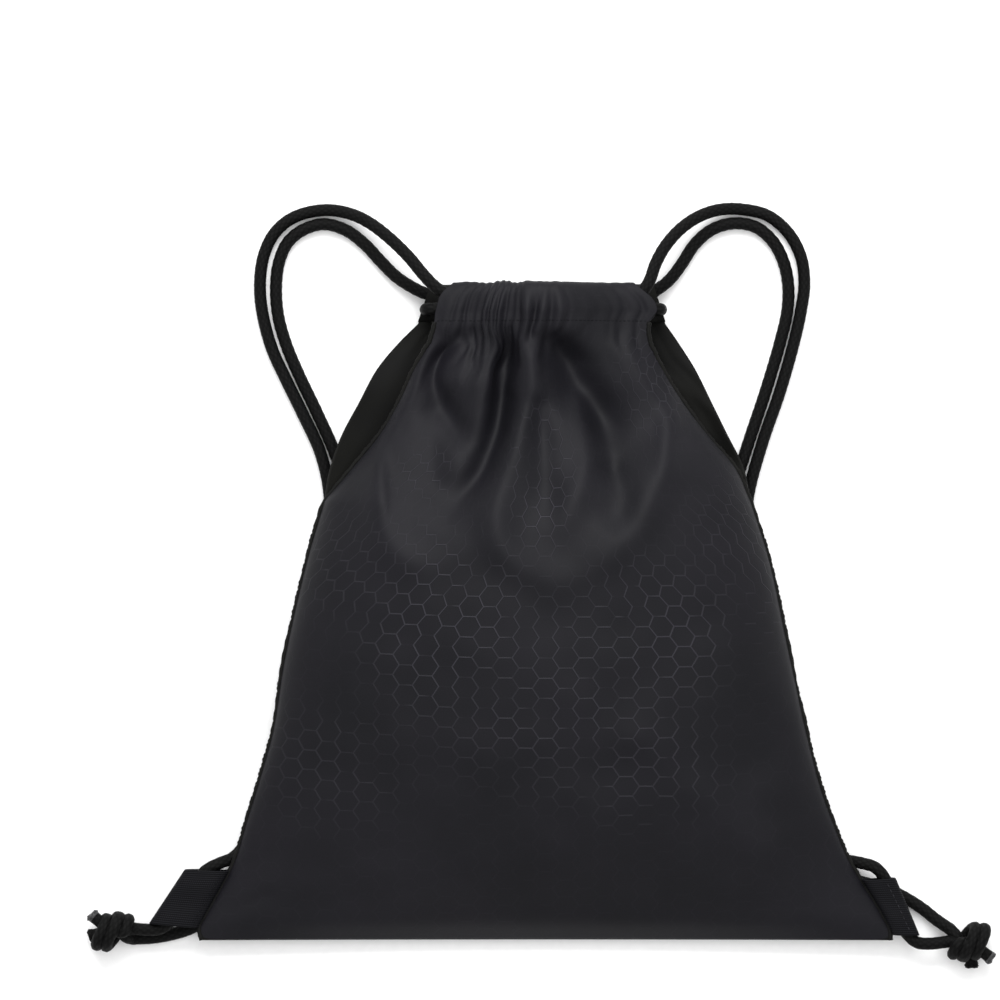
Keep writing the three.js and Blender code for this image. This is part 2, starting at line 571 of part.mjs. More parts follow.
// Overhand knot of both strands: a core, two turns of cord round it and two cut tails.
function knot(row) {
  const middle = new THREE.Vector3(row.x, row.y, KNOT_HEIGHT / 2 + GAP);
  const turn = THREE.MathUtils.degToRad(row.turn);
  const core = new THREE.IcosahedronGeometry(1, 1);
  core.scale(KNOT_LENGTH / 2, (KNOT_WIDTH - CORD / 2) / 2, (KNOT_HEIGHT - CORD / 2) / 2);
  let solid = toSolid(core);
  for (const lean of [-1, 1]) {
    const ring = new THREE.TorusGeometry(KNOT_HEIGHT / 2 - CORD / 2, CORD / 2, 6, 10);
    ring.scale(1, KNOT_WIDTH / KNOT_HEIGHT, 1);
    ring.rotateY(Math.PI / 2);
    ring.rotateZ(lean * TURN_LEAN);
    ring.translate(lean * (KNOT_LENGTH / 2 - CORD) * TURN_SPACING, 0, 0);
    solid = solid.add(toSolid(ring));
  }
  for (const [k, tail] of row.tails.entries()) {
    const rod = new THREE.CylinderGeometry(CORD / 2, CORD / 2, TAIL_LENGTH, CORD_SIDES);
    rod.rotateZ(-Math.PI / 2);
    rod.translate(TAIL_LENGTH / 2, 0, 0);
    rod.rotateZ(THREE.MathUtils.degToRad(tail) - turn);
    rod.translate(0, 0, (TAIL_LIFTS[k] - 1 / 2) * KNOT_HEIGHT);
    solid = solid.add(toSolid(rod));
  }
  const geometry = toGeometry(solid);
  geometry.rotateZ(turn);
  geometry.translate(middle.x, middle.y, middle.z);
  return geometry;
}

function addPiece(parent, name, geometry, finish) {
  const mesh = new THREE.Mesh(geometry, new THREE.MeshStandardMaterial(finish));
  mesh.name = name;
  parent.add(mesh);
}

function helmetBag() {
  const bag = new THREE.Group();
  const frontGather = (s, x, y) => -panelGather(s, x, y, COLUMNS);
  const backGather = (s, x, y) => panelGather(s, x, y, BACK_COLUMNS);
  addPiece(bag, 'front_panel', panel(frontPoint, frontGather, COLUMNS, 1), clothFinish);
  addPiece(bag, 'back_panel', panel(backPoint, backGather, BACK_COLUMNS, -1), liningFinish);
  addPiece(bag, 'front_hem', hem(frontHemMiddle), clothFinish);
  addPiece(bag, 'back_hem', hem(backHemMiddle), clothFinish);
  for (const row of TABS) addPiece(bag, row.name, tab(row), webbingFinish);
  for (const [name, side] of [['right', 1], ['left', -1]]) {
    addPiece(bag, `${name}_cord_in_front_hem`, lane(frontHemMiddle, side), cordFinish);
    addPiece(bag, `${name}_cord_in_back_hem`, lane(backHemMiddle, side), cordFinish);
    const frontStrand = strand(frontHemMiddle, side, ROUTES[`${name}_front`]);
    const backStrand = strand(backHemMiddle, side, ROUTES[`${name}_back`]);
    addPiece(bag, `${name}_cord_front_strand`, frontStrand, cordFinish);
    addPiece(bag, `${name}_cord_back_strand`, backStrand, cordFinish);
    addPiece(bag, `${name}_cord_bight`, bight(side), cordFinish);
  }
  for (const row of KNOTS) addPiece(bag, row.name, knot(row), cordFinish);
  return bag;
}

// The origin lies on the surface under the middle of the bag's box, from tab to tab.
function tabReach(row) {
  return halfWidth(row.side, TAB_WIDTH * row.fold[1], false) + GAP + TAB_WIDTH * row.out[1];
}

const scene = new THREE.Group();
const placed = helmetBag();
placed.position.set((tabReach(TABS[0]) - tabReach(TABS[1])) / 2, -BAG_HEIGHT / 2, 0);
scene.add(placed);

export default scene;
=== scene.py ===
import math

import bpy
import numpy as np
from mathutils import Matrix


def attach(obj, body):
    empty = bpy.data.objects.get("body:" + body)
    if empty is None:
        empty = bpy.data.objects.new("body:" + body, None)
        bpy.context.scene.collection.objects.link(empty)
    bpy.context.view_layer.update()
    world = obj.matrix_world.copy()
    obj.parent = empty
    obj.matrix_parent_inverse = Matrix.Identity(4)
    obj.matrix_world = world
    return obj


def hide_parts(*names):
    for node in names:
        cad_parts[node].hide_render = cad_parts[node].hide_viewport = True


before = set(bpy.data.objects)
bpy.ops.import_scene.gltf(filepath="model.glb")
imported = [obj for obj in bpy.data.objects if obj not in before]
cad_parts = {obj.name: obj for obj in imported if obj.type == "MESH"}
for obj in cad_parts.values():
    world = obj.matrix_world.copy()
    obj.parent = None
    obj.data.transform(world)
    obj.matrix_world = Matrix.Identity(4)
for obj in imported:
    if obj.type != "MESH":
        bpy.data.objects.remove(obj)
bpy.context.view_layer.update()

# Drawstring helmet bag of hexagon-embossed polyester, lying on its back with the front panel up.
# The bag's own millimetres: X across from its middle, Y up from the bottom seam, Z off the surface.
# They are turned into metres in the part's frame by place().
MM = 0.001
MIDDLE_SHIFT = 5.444
BOTTOM_SHIFT = -209.65

# Camera: straight above, with 0.64 m of the surface across the picture
CAMERA_PLACE = (-0.0221, 0.0719, 3.0)
PICTURE_WIDTH = 0.64
SENSOR = 36.0
CARD_SIZE = 8.0
# Lights: name, place, size and power. All of them point at the middle of the frame.
SOFTBOXES = [
    ("softbox_above_picture", (-0.1, 1.9, 1.9), (2.2, 1.2), 76.0),
    ("softbox_overhead", (0.3, 0.2, 2.6), (2.2, 2.2), 30.0),
]
WORLD_STRENGTH = 0.76

# Cords
CORD = 0.008
CORD_SIDES = 24
CORD_STEP = 0.0011
CARRIERS = 8  # in each direction round the cord
BRAID_PITCH = 0.0052
BRAID_RELIEF = 0.00022
END_DRAW = 0.0008  # a singed end starts this far inside the braid

# Hems with the two cords inside, in millimetres
HALF_HEM = 69.0
HEM_WIDTH = 25.0
HEM_MIDDLE = 406.8
TUNNEL = 4.9
LANE = 4.3
MOUTH = 8.0
HEM_FLOOR = 3.2  # cloth and gathers between the tunnel and the outside of a hem
STRAND_START = 48.6  # where a cord's run inside the hems ends and its free strand begins
LANE_END = 69.3
LANE_POINTS = 9
BIGHT_START = 70.7
BIGHT_REACH = 4.0
BIGHT_STEPS = 6
BIGHT_ROUNDNESS = 0.8  # exponent of a bight's turn: 1 is an ellipse, less is squarer

CURVE_STEPS = 24  # points worked out between two points of a curve

# Middle lines of the free strands from the hems to the knots, in metres in the part's frame
ROUTES = {
    "right_front": [
        (0.0619, 0.2010, 0.0332), (0.0674, 0.2034, 0.0326), (0.0724, 0.2103, 0.0316),
        (0.0764, 0.2213, 0.0288), (0.0824, 0.2324, 0.0254), (0.0924, 0.2440, 0.0200),
        (0.1044, 0.2524, 0.0144), (0.1174, 0.2570, 0.0090), (0.1314, 0.2577, 0.0052),
        (0.1489, 0.2537, 0.0041), (0.1624, 0.2423, 0.0041), (0.1702, 0.2273, 0.0041),
        (0.1724, 0.2103, 0.0041), (0.1704, 0.1938, 0.0041), (0.1662, 0.1744, 0.0041),
        (0.1569, 0.1414, 0.0041), (0.1454, 0.1078, 0.0041), (0.1364, 0.0733, 0.0041),
        (0.1339, 0.0353, 0.0041), (0.1404, -0.0097, 0.0041), (0.1524, -0.0597, 0.0041),
        (0.1704, -0.1116, 0.0041), (0.1854, -0.1430, 0.0044), (0.1968, -0.1568, 0.0064),
        (0.2084, -0.1596, 0.0112), (0.2166, -0.1620, 0.0142), (0.2228, -0.1688, 0.0146),
        (0.2274, -0.1817, 0.0146), (0.2324, -0.1961, 0.0146), (0.2370, -0.2042, 0.0146),
        (0.2434, -0.2098, 0.0142), (0.2514, -0.2108, 0.0134), (0.2616, -0.2098, 0.0126),
    ],
    "right_back": [
        (0.0629, 0.2012, 0.0083), (0.0714, 0.2027, 0.0080), (0.0794, 0.2070, 0.0074),
        (0.0869, 0.2133, 0.0066), (0.0944, 0.2233, 0.0054), (0.1024, 0.2354, 0.0044),
        (0.1134, 0.2447, 0.0041), (0.1274, 0.2487, 0.0041), (0.1414, 0.2463, 0.0041),
        (0.1524, 0.2370, 0.0041), (0.1590, 0.2243, 0.0041), (0.1620, 0.2103, 0.0041),
        (0.1616, 0.1933, 0.0041), (0.1574, 0.1744, 0.0041), (0.1480, 0.1424, 0.0041),
        (0.1357, 0.1053, 0.0041), (0.1254, 0.0703, 0.0041), (0.1229, 0.0353, 0.0041),
        (0.1294, -0.0047, 0.0041), (0.1404, -0.0547, 0.0041), (0.1574, -0.1067, 0.0041),
        (0.1774, -0.1517, 0.0041), (0.1914, -0.1671, 0.0041), (0.2104, -0.1726, 0.0041),
        (0.2254, -0.1767, 0.0041), (0.2384, -0.1832, 0.0041), (0.2484, -0.1897, 0.0050),
        (0.2554, -0.1953, 0.0068), (0.2630, -0.2006, 0.0090),
    ],
    "left_front": [
        (-0.0511, 0.2012, 0.0327), (-0.0571, 0.2030, 0.0323), (-0.0636, 0.2074, 0.0314),
        (-0.0711, 0.2153, 0.0288), (-0.0796, 0.2257, 0.0256), (-0.0916, 0.2377, 0.0208),
        (-0.1046, 0.2480, 0.0150), (-0.1166, 0.2541, 0.0096), (-0.1311, 0.2571, 0.0052),
        (-0.1456, 0.2555, 0.0041), (-0.1576, 0.2504, 0.0041), (-0.1670, 0.2413, 0.0041),
        (-0.1730, 0.2283, 0.0041), (-0.1754, 0.2123, 0.0041), (-0.1744, 0.1943, 0.0041),
        (-0.1683, 0.1699, 0.0041), (-0.1594, 0.1500, 0.0041), (-0.1484, 0.1275, 0.0041),
        (-0.1366, 0.1013, 0.0041), (-0.1310, 0.0733, 0.0041), (-0.1331, 0.0403, 0.0041),
        (-0.1416, -0.0097, 0.0041), (-0.1536, -0.0597, 0.0041), (-0.1686, -0.1077, 0.0041),
        (-0.1816, -0.1427, 0.0048), (-0.1922, -0.1561, 0.0084), (-0.2006, -0.1595, 0.0130),
        (-0.2086, -0.1635, 0.0146), (-0.2162, -0.1716, 0.0146), (-0.2230, -0.1827, 0.0146),
        (-0.2284, -0.1913, 0.0146), (-0.2332, -0.1976, 0.0146), (-0.2392, -0.2013, 0.0140),
        (-0.2460, -0.2019, 0.0132), (-0.2536, -0.2015, 0.0126),
    ],
    "left_back": [
        (-0.0521, 0.2012, 0.0078), (-0.0606, 0.2020, 0.0079), (-0.0696, 0.2037, 0.0078),
        (-0.0786, 0.2080, 0.0072), (-0.0886, 0.2147, 0.0060), (-0.0986, 0.2247, 0.0046),
        (-0.1086, 0.2354, 0.0041), (-0.1206, 0.2443, 0.0041), (-0.1346, 0.2482, 0.0041),
        (-0.1476, 0.2447, 0.0041), (-0.1576, 0.2367, 0.0041), (-0.1632, 0.2243, 0.0041),
        (-0.1652, 0.2093, 0.0041), (-0.1640, 0.1903, 0.0041), (-0.1588, 0.1714, 0.0041),
        (-0.1506, 0.1518, 0.0041), (-0.1394, 0.1283, 0.0041), (-0.1275, 0.1013, 0.0041),
        (-0.1192, 0.0733, 0.0041), (-0.1196, 0.0403, 0.0041), (-0.1286, -0.0097, 0.0041),
        (-0.1406, -0.0597, 0.0041), (-0.1556, -0.1077, 0.0041), (-0.1726, -0.1477, 0.0041),
        (-0.1906, -0.1736, 0.0041), (-0.2046, -0.1907, 0.0041), (-0.2186, -0.2013, 0.0041),
        (-0.2336, -0.2061, 0.0041), (-0.2452, -0.2079, 0.0046), (-0.2540, -0.2082, 0.0054),
    ],
}


def place(points):
    """Bag millimetres to metres in the part's frame."""
    points = np.asarray(points, dtype=float)
    return (points + np.array([MIDDLE_SHIFT, BOTTOM_SHIFT, 0.0])) * MM


# Camera and light.

def add_to_scene(thing, place_of):
    thing.location = place_of
    bpy.context.scene.collection.objects.link(thing)


def add_camera():
    data = bpy.data.cameras.new("view_from_above")
    data.sensor_width = SENSOR
    data.lens = SENSOR * CAMERA_PLACE[2] / PICTURE_WIDTH
    data.clip_end = 20.0
    camera = bpy.data.objects.new("view_from_above", data)
    add_to_scene(camera, CAMERA_PLACE)
    bpy.context.scene.camera = camera


def add_softbox(name, location, size, power):
    data = bpy.data.lights.new(name, "AREA")
    data.shape = "RECTANGLE"
    data.size, data.size_y = size
    data.energy = power
    light = bpy.data.objects.new(name, data)
    add_to_scene(light, location)
    light.rotation_euler = (-light.location).to_track_quat("-Z", "Y").to_euler()


def add_world():
    world = bpy.data.worlds.new("pale_studio")
    world.use_nodes = True
    background = world.node_tree.nodes["Background"].inputs
    background["Color"].default_value = (1.0, 1.0, 1.0, 1.0)
    background["Strength"].default_value = WORLD_STRENGTH
    bpy.context.scene.world = world


add_camera()
for softbox in SOFTBOXES:
    add_softbox(*softbox)
add_world()
bpy.context.scene.view_settings.view_transform = "Standard"


# Curves.

def run_along(points, axis=0):
    """Distance along each line of points from its first point."""
    steps = np.linalg.norm(np.diff(points, axis=axis), axis=-1)
    start = np.zeros_like(np.take(steps, [0], axis=axis))
    return np.concatenate([start, np.cumsum(steps, axis=axis)], axis=axis)


def unit(vectors):
    """The same directions, each of length 1."""
    return vectors / np.maximum(np.linalg.norm(vectors, axis=-1, keepdims=True), 1e-9)


def smooth_line(points, step):
    """Points at equal steps along a centripetal Catmull-Rom curve, and the curve's length."""
    points = np.asarray(points, dtype=float)
    ends = np.vstack([2 * points[0] - points[1], points, 2 * points[-1] - points[-2]])
    dense = []
    for k in range(1, len(ends) - 2):
        p = ends[k - 1:k + 3]
        gaps = np.maximum(np.linalg.norm(np.diff(p, axis=0), axis=1) ** 0.5, 1e-9)
        t = np.concatenate([[0.0], np.cumsum(gaps)])
        u = np.linspace(t[1], t[2], CURVE_STEPS, endpoint=False)[:, None]

        def blend(first, second, low, high):
            return (t[high] - u) / (t[high] - t[low]) * first + (u - t[low]) / (t[high] - t[low]) * second

        a1, a2, a3 = (blend(p[i], p[i + 1], i, i + 1) for i in range(3))
        dense.append(blend(blend(a1, a2, 0, 2), blend(a2, a3, 1, 3), 1, 2))
    dense = np.vstack(dense + [points[-1:]])
    run = run_along(dense)
    count = max(2, int(round(run[-1] / step)) + 1)
    return points_at(np.linspace(0.0, run[-1], count), run, dense), run[-1]


def points_at(distances, run, points):
    """Points at given distances along a line."""
    return np.stack([np.interp(distances, run, points[:, k]) for k in range(3)], axis=1)


def frames_along(line):
    """Two directions across the line at each of its points, carried along without twist."""
    ahead = unit(np.gradient(line, axis=0))
    side = np.cross(ahead[0], [0.0, 0.0, 1.0])
    if np.linalg.norm(side) < 0.1:
        side = np.cross(ahead[0], [1.0, 0.0, 0.0])
    sides = []
    for direction in ahead:
        side = unit(side - direction * np.dot(side, direction))
        sides.append(side)
    sides = np.array(sides)
    return sides, np.cross(sides, ahead)


# Meshes.

def select_only(*things):
    bpy.ops.object.select_all(action="DESELECT")
    for thing in things:
        thing.select_set(True)
    bpy.context.view_layer.objects.active = things[0]


def edit(piece, operator, **settings):
    """Runs one operator on the whole mesh in edit mode."""
    select_only(piece)
    bpy.ops.object.mode_set(mode="EDIT")
    bpy.ops.mesh.select_all(action="SELECT")
    operator(**settings)
    bpy.ops.object.mode_set(mode="OBJECT")


def rename(piece, name):
    piece.name = name
    piece.data.name = name


def shade_smooth(mesh):
    mesh.polygons.foreach_set("use_smooth", np.ones(len(mesh.polygons), dtype=bool))


def shaped_grid(name, points, map_points, closed=False):
    """A grid primitive laid over points[row, column], with its map in real metres.
    Where closed is set, the last column meets the first, and the piece faces outwards."""
    rows, columns = points.shape[:2]
    bpy.ops.object.select_all(action="DESELECT")
    bpy.ops.mesh.primitive_grid_add(x_subdivisions=columns - 1, y_subdivisions=rows - 1, size=1.0)
    piece = bpy.context.active_object
    rename(piece, name)
    mesh = piece.data
    mesh.vertices.foreach_set("co", points.reshape(-1).astype(np.float32))
    corners = np.empty(len(mesh.loops), dtype=np.int32)
    mesh.loops.foreach_get("vertex_index", corners)
    flat = map_points.reshape(-1, 2)[corners]
    mesh.uv_layers[0].data.foreach_set("uv", flat.reshape(-1).astype(np.float32))
    mesh.update()
    if closed:
        edit(piece, bpy.ops.mesh.remove_doubles, threshold=1e-6)
    shade_smooth(mesh)
    if closed:
        edit(piece, bpy.ops.mesh.normals_make_consistent, inside=False)
    return piece


def tube_round(name, line, frames, radius, maps, breadth=1.0):
    """A tube round a line with its ends drawn in. radius and maps have a row for each point of
    the line and a column for each place round it."""
    columns = radius.shape[1]
    angle = np.linspace(0.0, math.tau, columns)[None, :, None]
    across = frames[0][:, None, :] * np.cos(angle) * breadth + frames[1][:, None, :] * np.sin(angle)
    points = line[:, None, :] + across * radius[:, :, None]
    points[:, -1] = points[:, 0]
    first, last = (np.broadcast_to(line[k], (1, columns, 3)) for k in (0, -1))
    points = np.concatenate([first, points, last])
    return shaped_grid(name, points, np.concatenate([maps[:1], maps, maps[-1:]]), closed=True)


def grid_of(across, along):
    """Map of a grid from a number for each of its columns and one for each of its rows."""
    return np.stack(np.meshgrid(across, along), axis=2)


def thicken(piece, thickness):
    wall = piece.modifiers.new("wall", "SOLIDIFY")
    wall.thickness = thickness
    wall.offset = -1.0


def apply_all(piece):
    select_only(piece)
    for modifier in list(piece.modifiers):
        bpy.ops.object.modifier_apply(modifier=modifier.name)


def joined(name, pieces):
    select_only(*pieces)
    bpy.ops.object.join()
    whole = bpy.context.active_object
    rename(whole, name)
    return whole


# Materials.

def colour(code):
    """sRGB hex to linear RGBA."""
    parts = [int(code[k:k + 2], 16) / 255 for k in (1, 3, 5)]
    linear = [c / 12.92 if c <= 0.04045 else ((c + 0.055) / 1.055) ** 2.4 for c in parts]
    return (*linear, 1.0)


def add(tree, kind, inputs=None, **properties):
    """One node with its properties. Each input is a value, or the socket that is linked to it."""
    node = tree.nodes.new(kind)
    for key, value in properties.items():
        setattr(node, key, value)
    for key, value in (inputs or {}).items():
        if isinstance(value, bpy.types.NodeSocket):
            tree.links.new(value, node.inputs[key])
        else:
            node.inputs[key].default_value = value
    return node


def number(tree, operation, *values):
    """Result of a maths node on sockets and numbers."""
    return add(tree, "ShaderNodeMath", dict(enumerate(values)), operation=operation).outputs[0]


def vector(tree, operation, *values):
    """Result of a vector maths node on sockets and vectors."""
    node = add(tree, "ShaderNodeVectorMath", dict(enumerate(values)), operation=operation)
    return node.outputs["Value" if operation in ("DOT_PRODUCT", "LENGTH") else "Vector"]


def noise(tree, where, scale, detail, roughness=0.5):
    inputs = {"Vector": where, "Scale": scale, "Detail": detail, "Roughness": roughness}
    return add(tree, "ShaderNodeTexNoise", inputs).outputs["Fac"]


def ramp(tree, source, *stops, mode="LINEAR"):
    """Colour of a ramp. Each stop is a place, and either an sRGB hex or a linear grey."""
    node = add(tree, "ShaderNodeValToRGB", {"Fac": source})
    node.color_ramp.interpolation = mode
    while len(node.color_ramp.elements) < len(stops):
        node.color_ramp.elements.new(0.5)
    for element, (at, value) in zip(node.color_ramp.elements, stops):
        element.position = at
        element.color = colour(value) if isinstance(value, str) else (value, value, value, 1.0)
    return node.outputs[0]


def times(tree, first, second):
    """Product of two colours."""
    inputs = {0: 1.0, 6: first, 7: second}
    return add(tree, "ShaderNodeMix", inputs, data_type="RGBA", blend_type="MULTIPLY").outputs[2]


def bump(tree, height, strength, distance, **under):
    inputs = {"Height": height, "Strength": strength, "Distance": distance, **under}
    return add(tree, "ShaderNodeBump", inputs).outputs[0]


def map_of(tree):
    return add(tree, "ShaderNodeUVMap").outputs[0]


def place_in_piece(tree):
    return add(tree, "ShaderNodeTexCoord").outputs["Object"]


def new_material(name, inputs_of, *facts):
    """A material whose shader gets the inputs that inputs_of works out on its node tree."""
    material = bpy.data.materials.new(name)
    material.use_nodes = True
    tree = material.node_tree
    tree.nodes.clear()
    shader = add(tree, "ShaderNodeBsdfPrincipled", inputs_of(tree, *facts))
    add(tree, "ShaderNodeOutputMaterial", {"Surface": shader.outputs[0]})
    return material


def braided_cord(tree):
    # Braided polyester cord of 16 carriers, dyed black: each carrier is a flat bundle of bright
    # filaments. The base colour is painted lighter on each carrier's crown, as a painted glint, and
    # darker at the crossings, as painted shade.
    # The map gives turns round the cord and metres along it. One carrier is 3.1 mm wide and
    # 5.2 mm long.
    parts = add(tree, "ShaderNodeSeparateXYZ", {"Vector": map_of(tree)}).outputs
    turns = number(tree, "MULTIPLY", parts[0], float(CARRIERS))
    runs = number(tree, "MULTIPLY", parts[1], 1.0 / BRAID_PITCH)
    left = number(tree, "ADD", turns, runs)
    right = number(tree, "SUBTRACT", turns, runs)
    waves = []
    for lane in (left, right):
        wave = number(tree, "SINE", number(tree, "MULTIPLY", lane, math.pi))
        waves.append(number(tree, "ABSOLUTE", wave))
    crown = number(tree, "MULTIPLY", *waves)
    # Filaments of 0.2 mm, drawn at 0.35 mm so that they show.
    fibre_place = add(tree, "ShaderNodeCombineXYZ", {"X": left, "Y": right}).outputs[0]
    fibre = noise(tree, fibre_place, 5.0, 3.0, 0.6)
    braid_relief_and_painted_glint = number(tree, "MULTIPLY_ADD", crown, 0.7, fibre)
    return {
        "IOR": 1.53, "Specular IOR Level": 0.06,
        # Base colour from the braid's height and its filaments: painted glint on the crowns, painted
        # shade in the crossings.
        "Base Color": ramp(tree, braid_relief_and_painted_glint, (0.25, "#030303"), (0.75, "#090909"), (1.0, "#101010")),
        "Roughness": ramp(tree, fibre, (0.3, 0.55), (0.75, 0.75)),
        "Normal": bump(tree, braid_relief_and_painted_glint, 0.6, 0.0003),
    }


def singed_end(tree):
    # The same cord where it was cut and singed: grey fluffed filaments with a few glassy beads.
    fluff = noise(tree, place_in_piece(tree), 1400.0, 4.0, 0.7)
    return {
        "Roughness": 0.4, "IOR": 1.53, "Specular IOR Level": 0.5,
        "Coat Weight": 0.3, "Coat Roughness": 0.25,
        "Base Color": ramp(tree, fluff, (0.38, "#0c0c0d"), (0.6, "#1e1e20"), (0.72, "#77777b")),
        "Normal": bump(tree, fluff, 1.0, 0.0006),
    }


# Places where the press was deepest: middle and half widths in metres, and share of the depth.
# The same share sets how strong the painted highlight on the ridges is there.
EMBOSSED = [
    ((-0.054, -0.008), (0.050, 0.056), 0.85), ((0.016, -0.050), (0.076, 0.060), 0.6),
    ((0.070, -0.012), (0.052, 0.044), 0.75), ((0.004, 0.085), (0.018, 0.042), 0.8),
    ((-0.113, 0.028), (0.036, 0.036), 0.35), ((-0.124, -0.094), (0.044, 0.040), 0.3),
    ((0.076, 0.150), (0.022, 0.032), 0.45), ((0.132, 0.034), (0.040, 0.052), 0.28),
    ((0.068, -0.092), (0.050, 0.040), 0.5), ((-0.066, 0.088), (0.022, 0.016), 0.45),
]
EMBOSSED_ELSEWHERE = 0.06
HEXAGON = 0.0128  # from flat to flat
HEXAGON_COLUMN = 0.0126  # from one column of hexagons to the next
ROOT_3 = math.sqrt(3.0)


def to_nearest_hexagon(tree, where):
    """Vector to the middle of the nearest hexagon of a honeycomb with flats 1 apart."""
    cell = (ROOT_3, 1.0, 1.0)
    half = (ROOT_3 / 2, 0.5, 0.5)
    found = []
    for shift in ((0.0, 0.0, 0.0), half):
        moved = vector(tree, "ADD", where, shift)
        wrapped = vector(tree, "WRAP", moved, cell, (0.0, 0.0, 0.0))
        centred = vector(tree, "SUBTRACT", wrapped, half)
        found.append(vector(tree, "MULTIPLY", centred, (1.0, 1.0, 0.0)))
    first, second = found
    lengths = [vector(tree, "LENGTH", way) for way in found]
    is_first = number(tree, "LESS_THAN", *lengths)
    inputs = {0: is_first, 4: second, 5: first}
    return add(tree, "ShaderNodeMix", inputs, data_type="VECTOR").outputs[1]


def hexagon_ridges(tree, uv):
    """Height of the emboss's ridges, 0 to 1, which fade in and out over some centimetres."""
    stretch = HEXAGON_COLUMN / (1.5 * HEXAGON / ROOT_3)
    scaled = vector(tree, "MULTIPLY", uv, (1.0 / (HEXAGON * stretch), 1.0 / HEXAGON, 0.0))
    folded = vector(tree, "ABSOLUTE", to_nearest_hexagon(tree, scaled))
    slants = vector(tree, "DOT_PRODUCT", folded, (ROOT_3 / 2, 0.5, 0.0))
    levels = add(tree, "ShaderNodeSeparateXYZ", {"Vector": folded}).outputs[1]
    # Each is 0.5 on its side of the outline. The ridge is 0.9 mm wide.
    ridges = []
    for side, size, low, high in ((slants, 17.0, 0.34, 0.5), (levels, 26.0, 0.42, 0.54)):
        line = ramp(tree, side, (0.45, 0.0), (0.482, 0.95), (0.5, 1.0), mode="EASE")
        faded = ramp(tree, noise(tree, uv, size, 2.0), (low, 0.06), (high, 1.0))
        ridges.append(number(tree, "MULTIPLY", line, faded))
    return number(tree, "MAXIMUM", *ridges)


def emboss_depth_and_painted_highlight(tree):
    where = place_in_piece(tree)
    depth = 0.0
    for middle, reach, share in EMBOSSED:
        away = vector(tree, "SUBTRACT", where, (*middle, 0.0))
        scaled = vector(tree, "MULTIPLY", away, (1 / reach[0], 1 / reach[1], 0.0))
        limits = {"From Min": 0.5, "From Max": 1.3, "To Min": share, "To Max": 0.0}
        inputs = {"Value": vector(tree, "LENGTH", scaled), **limits}
        near = add(tree, "ShaderNodeMapRange", inputs).outputs[0]
        depth = number(tree, "MAXIMUM", depth, near)
    return number(tree, "ADD", depth, EMBOSSED_ELSEWHERE)


def yarns(tree, uv, width, detail, roughness):
    """Noise with features as wide as the yarns are drawn."""
    return noise(tree, vector(tree, "MULTIPLY", uv, (1 / width, 1 / width, 0.0)), 1.0, detail, roughness)


def hexagon_cloth(tree):
    # Calendered polyester with a raised hexagon emboss: flat yarns give a low satin gloss, the
    # ridges of the emboss are pressed smoother, and a painted highlight makes them a little lighter than
    # the fields between.
    uv = map_of(tree)
    ridge_relief_and_painted_highlight = number(tree, "MULTIPLY", hexagon_ridges(tree, uv), emboss_depth_and_painted_highlight(tree))
    # Plain weave of 0.25 mm yarns, drawn at 0.7 mm so that it shows.
    weave = yarns(tree, uv, 0.0007, 2.0, 0.7)
    ground = ramp(tree, noise(tree, uv, 9.0, 3.0, 0.55), (0.3, "#0c0c10"), (0.7, "#141318"))
    # Painted highlight: the base colour turns towards a lighter grey on the ridges, most where the emboss
    # is deepest.
    weight = number(tree, "MULTIPLY", ridge_relief_and_painted_highlight, 0.85)
    inputs = {0: weight, 6: ground, 7: colour("#2e2d33")}
    raised = add(tree, "ShaderNodeMix", inputs, data_type="RGBA").outputs[2]
    fine = bump(tree, weave, 0.25, 0.0002)
    return {
        "IOR": 1.5, "Specular IOR Level": 0.14,
        "Base Color": times(tree, raised, ramp(tree, weave, (0.3, 0.82), (0.7, 1.15))),
        "Roughness": ramp(tree, ridge_relief_and_painted_highlight, (0.0, 0.6), (1.0, 0.46)),
        "Normal": bump(tree, ridge_relief_and_painted_highlight, 0.8, 0.0005, Normal=fine),
    }


def coated_cloth(tree):
    # The bag's back, of the same polyester with a rubbed polyurethane coating: matt and even,
    # with a faint weave drawn at 0.8 mm and a warmer grey than the front.
    uv = map_of(tree)
    weave = yarns(tree, uv, 0.0008, 3.0, 0.6)
    blotch = noise(tree, uv, 12.0, 3.0, 0.55)
    ground = ramp(tree, blotch, (0.3, "#0c0c0c"), (0.7, "#131311"))
    return {
        "IOR": 1.5, "Specular IOR Level": 0.1,
        "Base Color": times(tree, ground, ramp(tree, weave, (0.3, 0.85), (0.7, 1.12))),
        "Roughness": ramp(tree, blotch, (0.3, 0.62), (0.7, 0.74)),
        "Normal": bump(tree, weave, 0.35, 0.0003),
    }


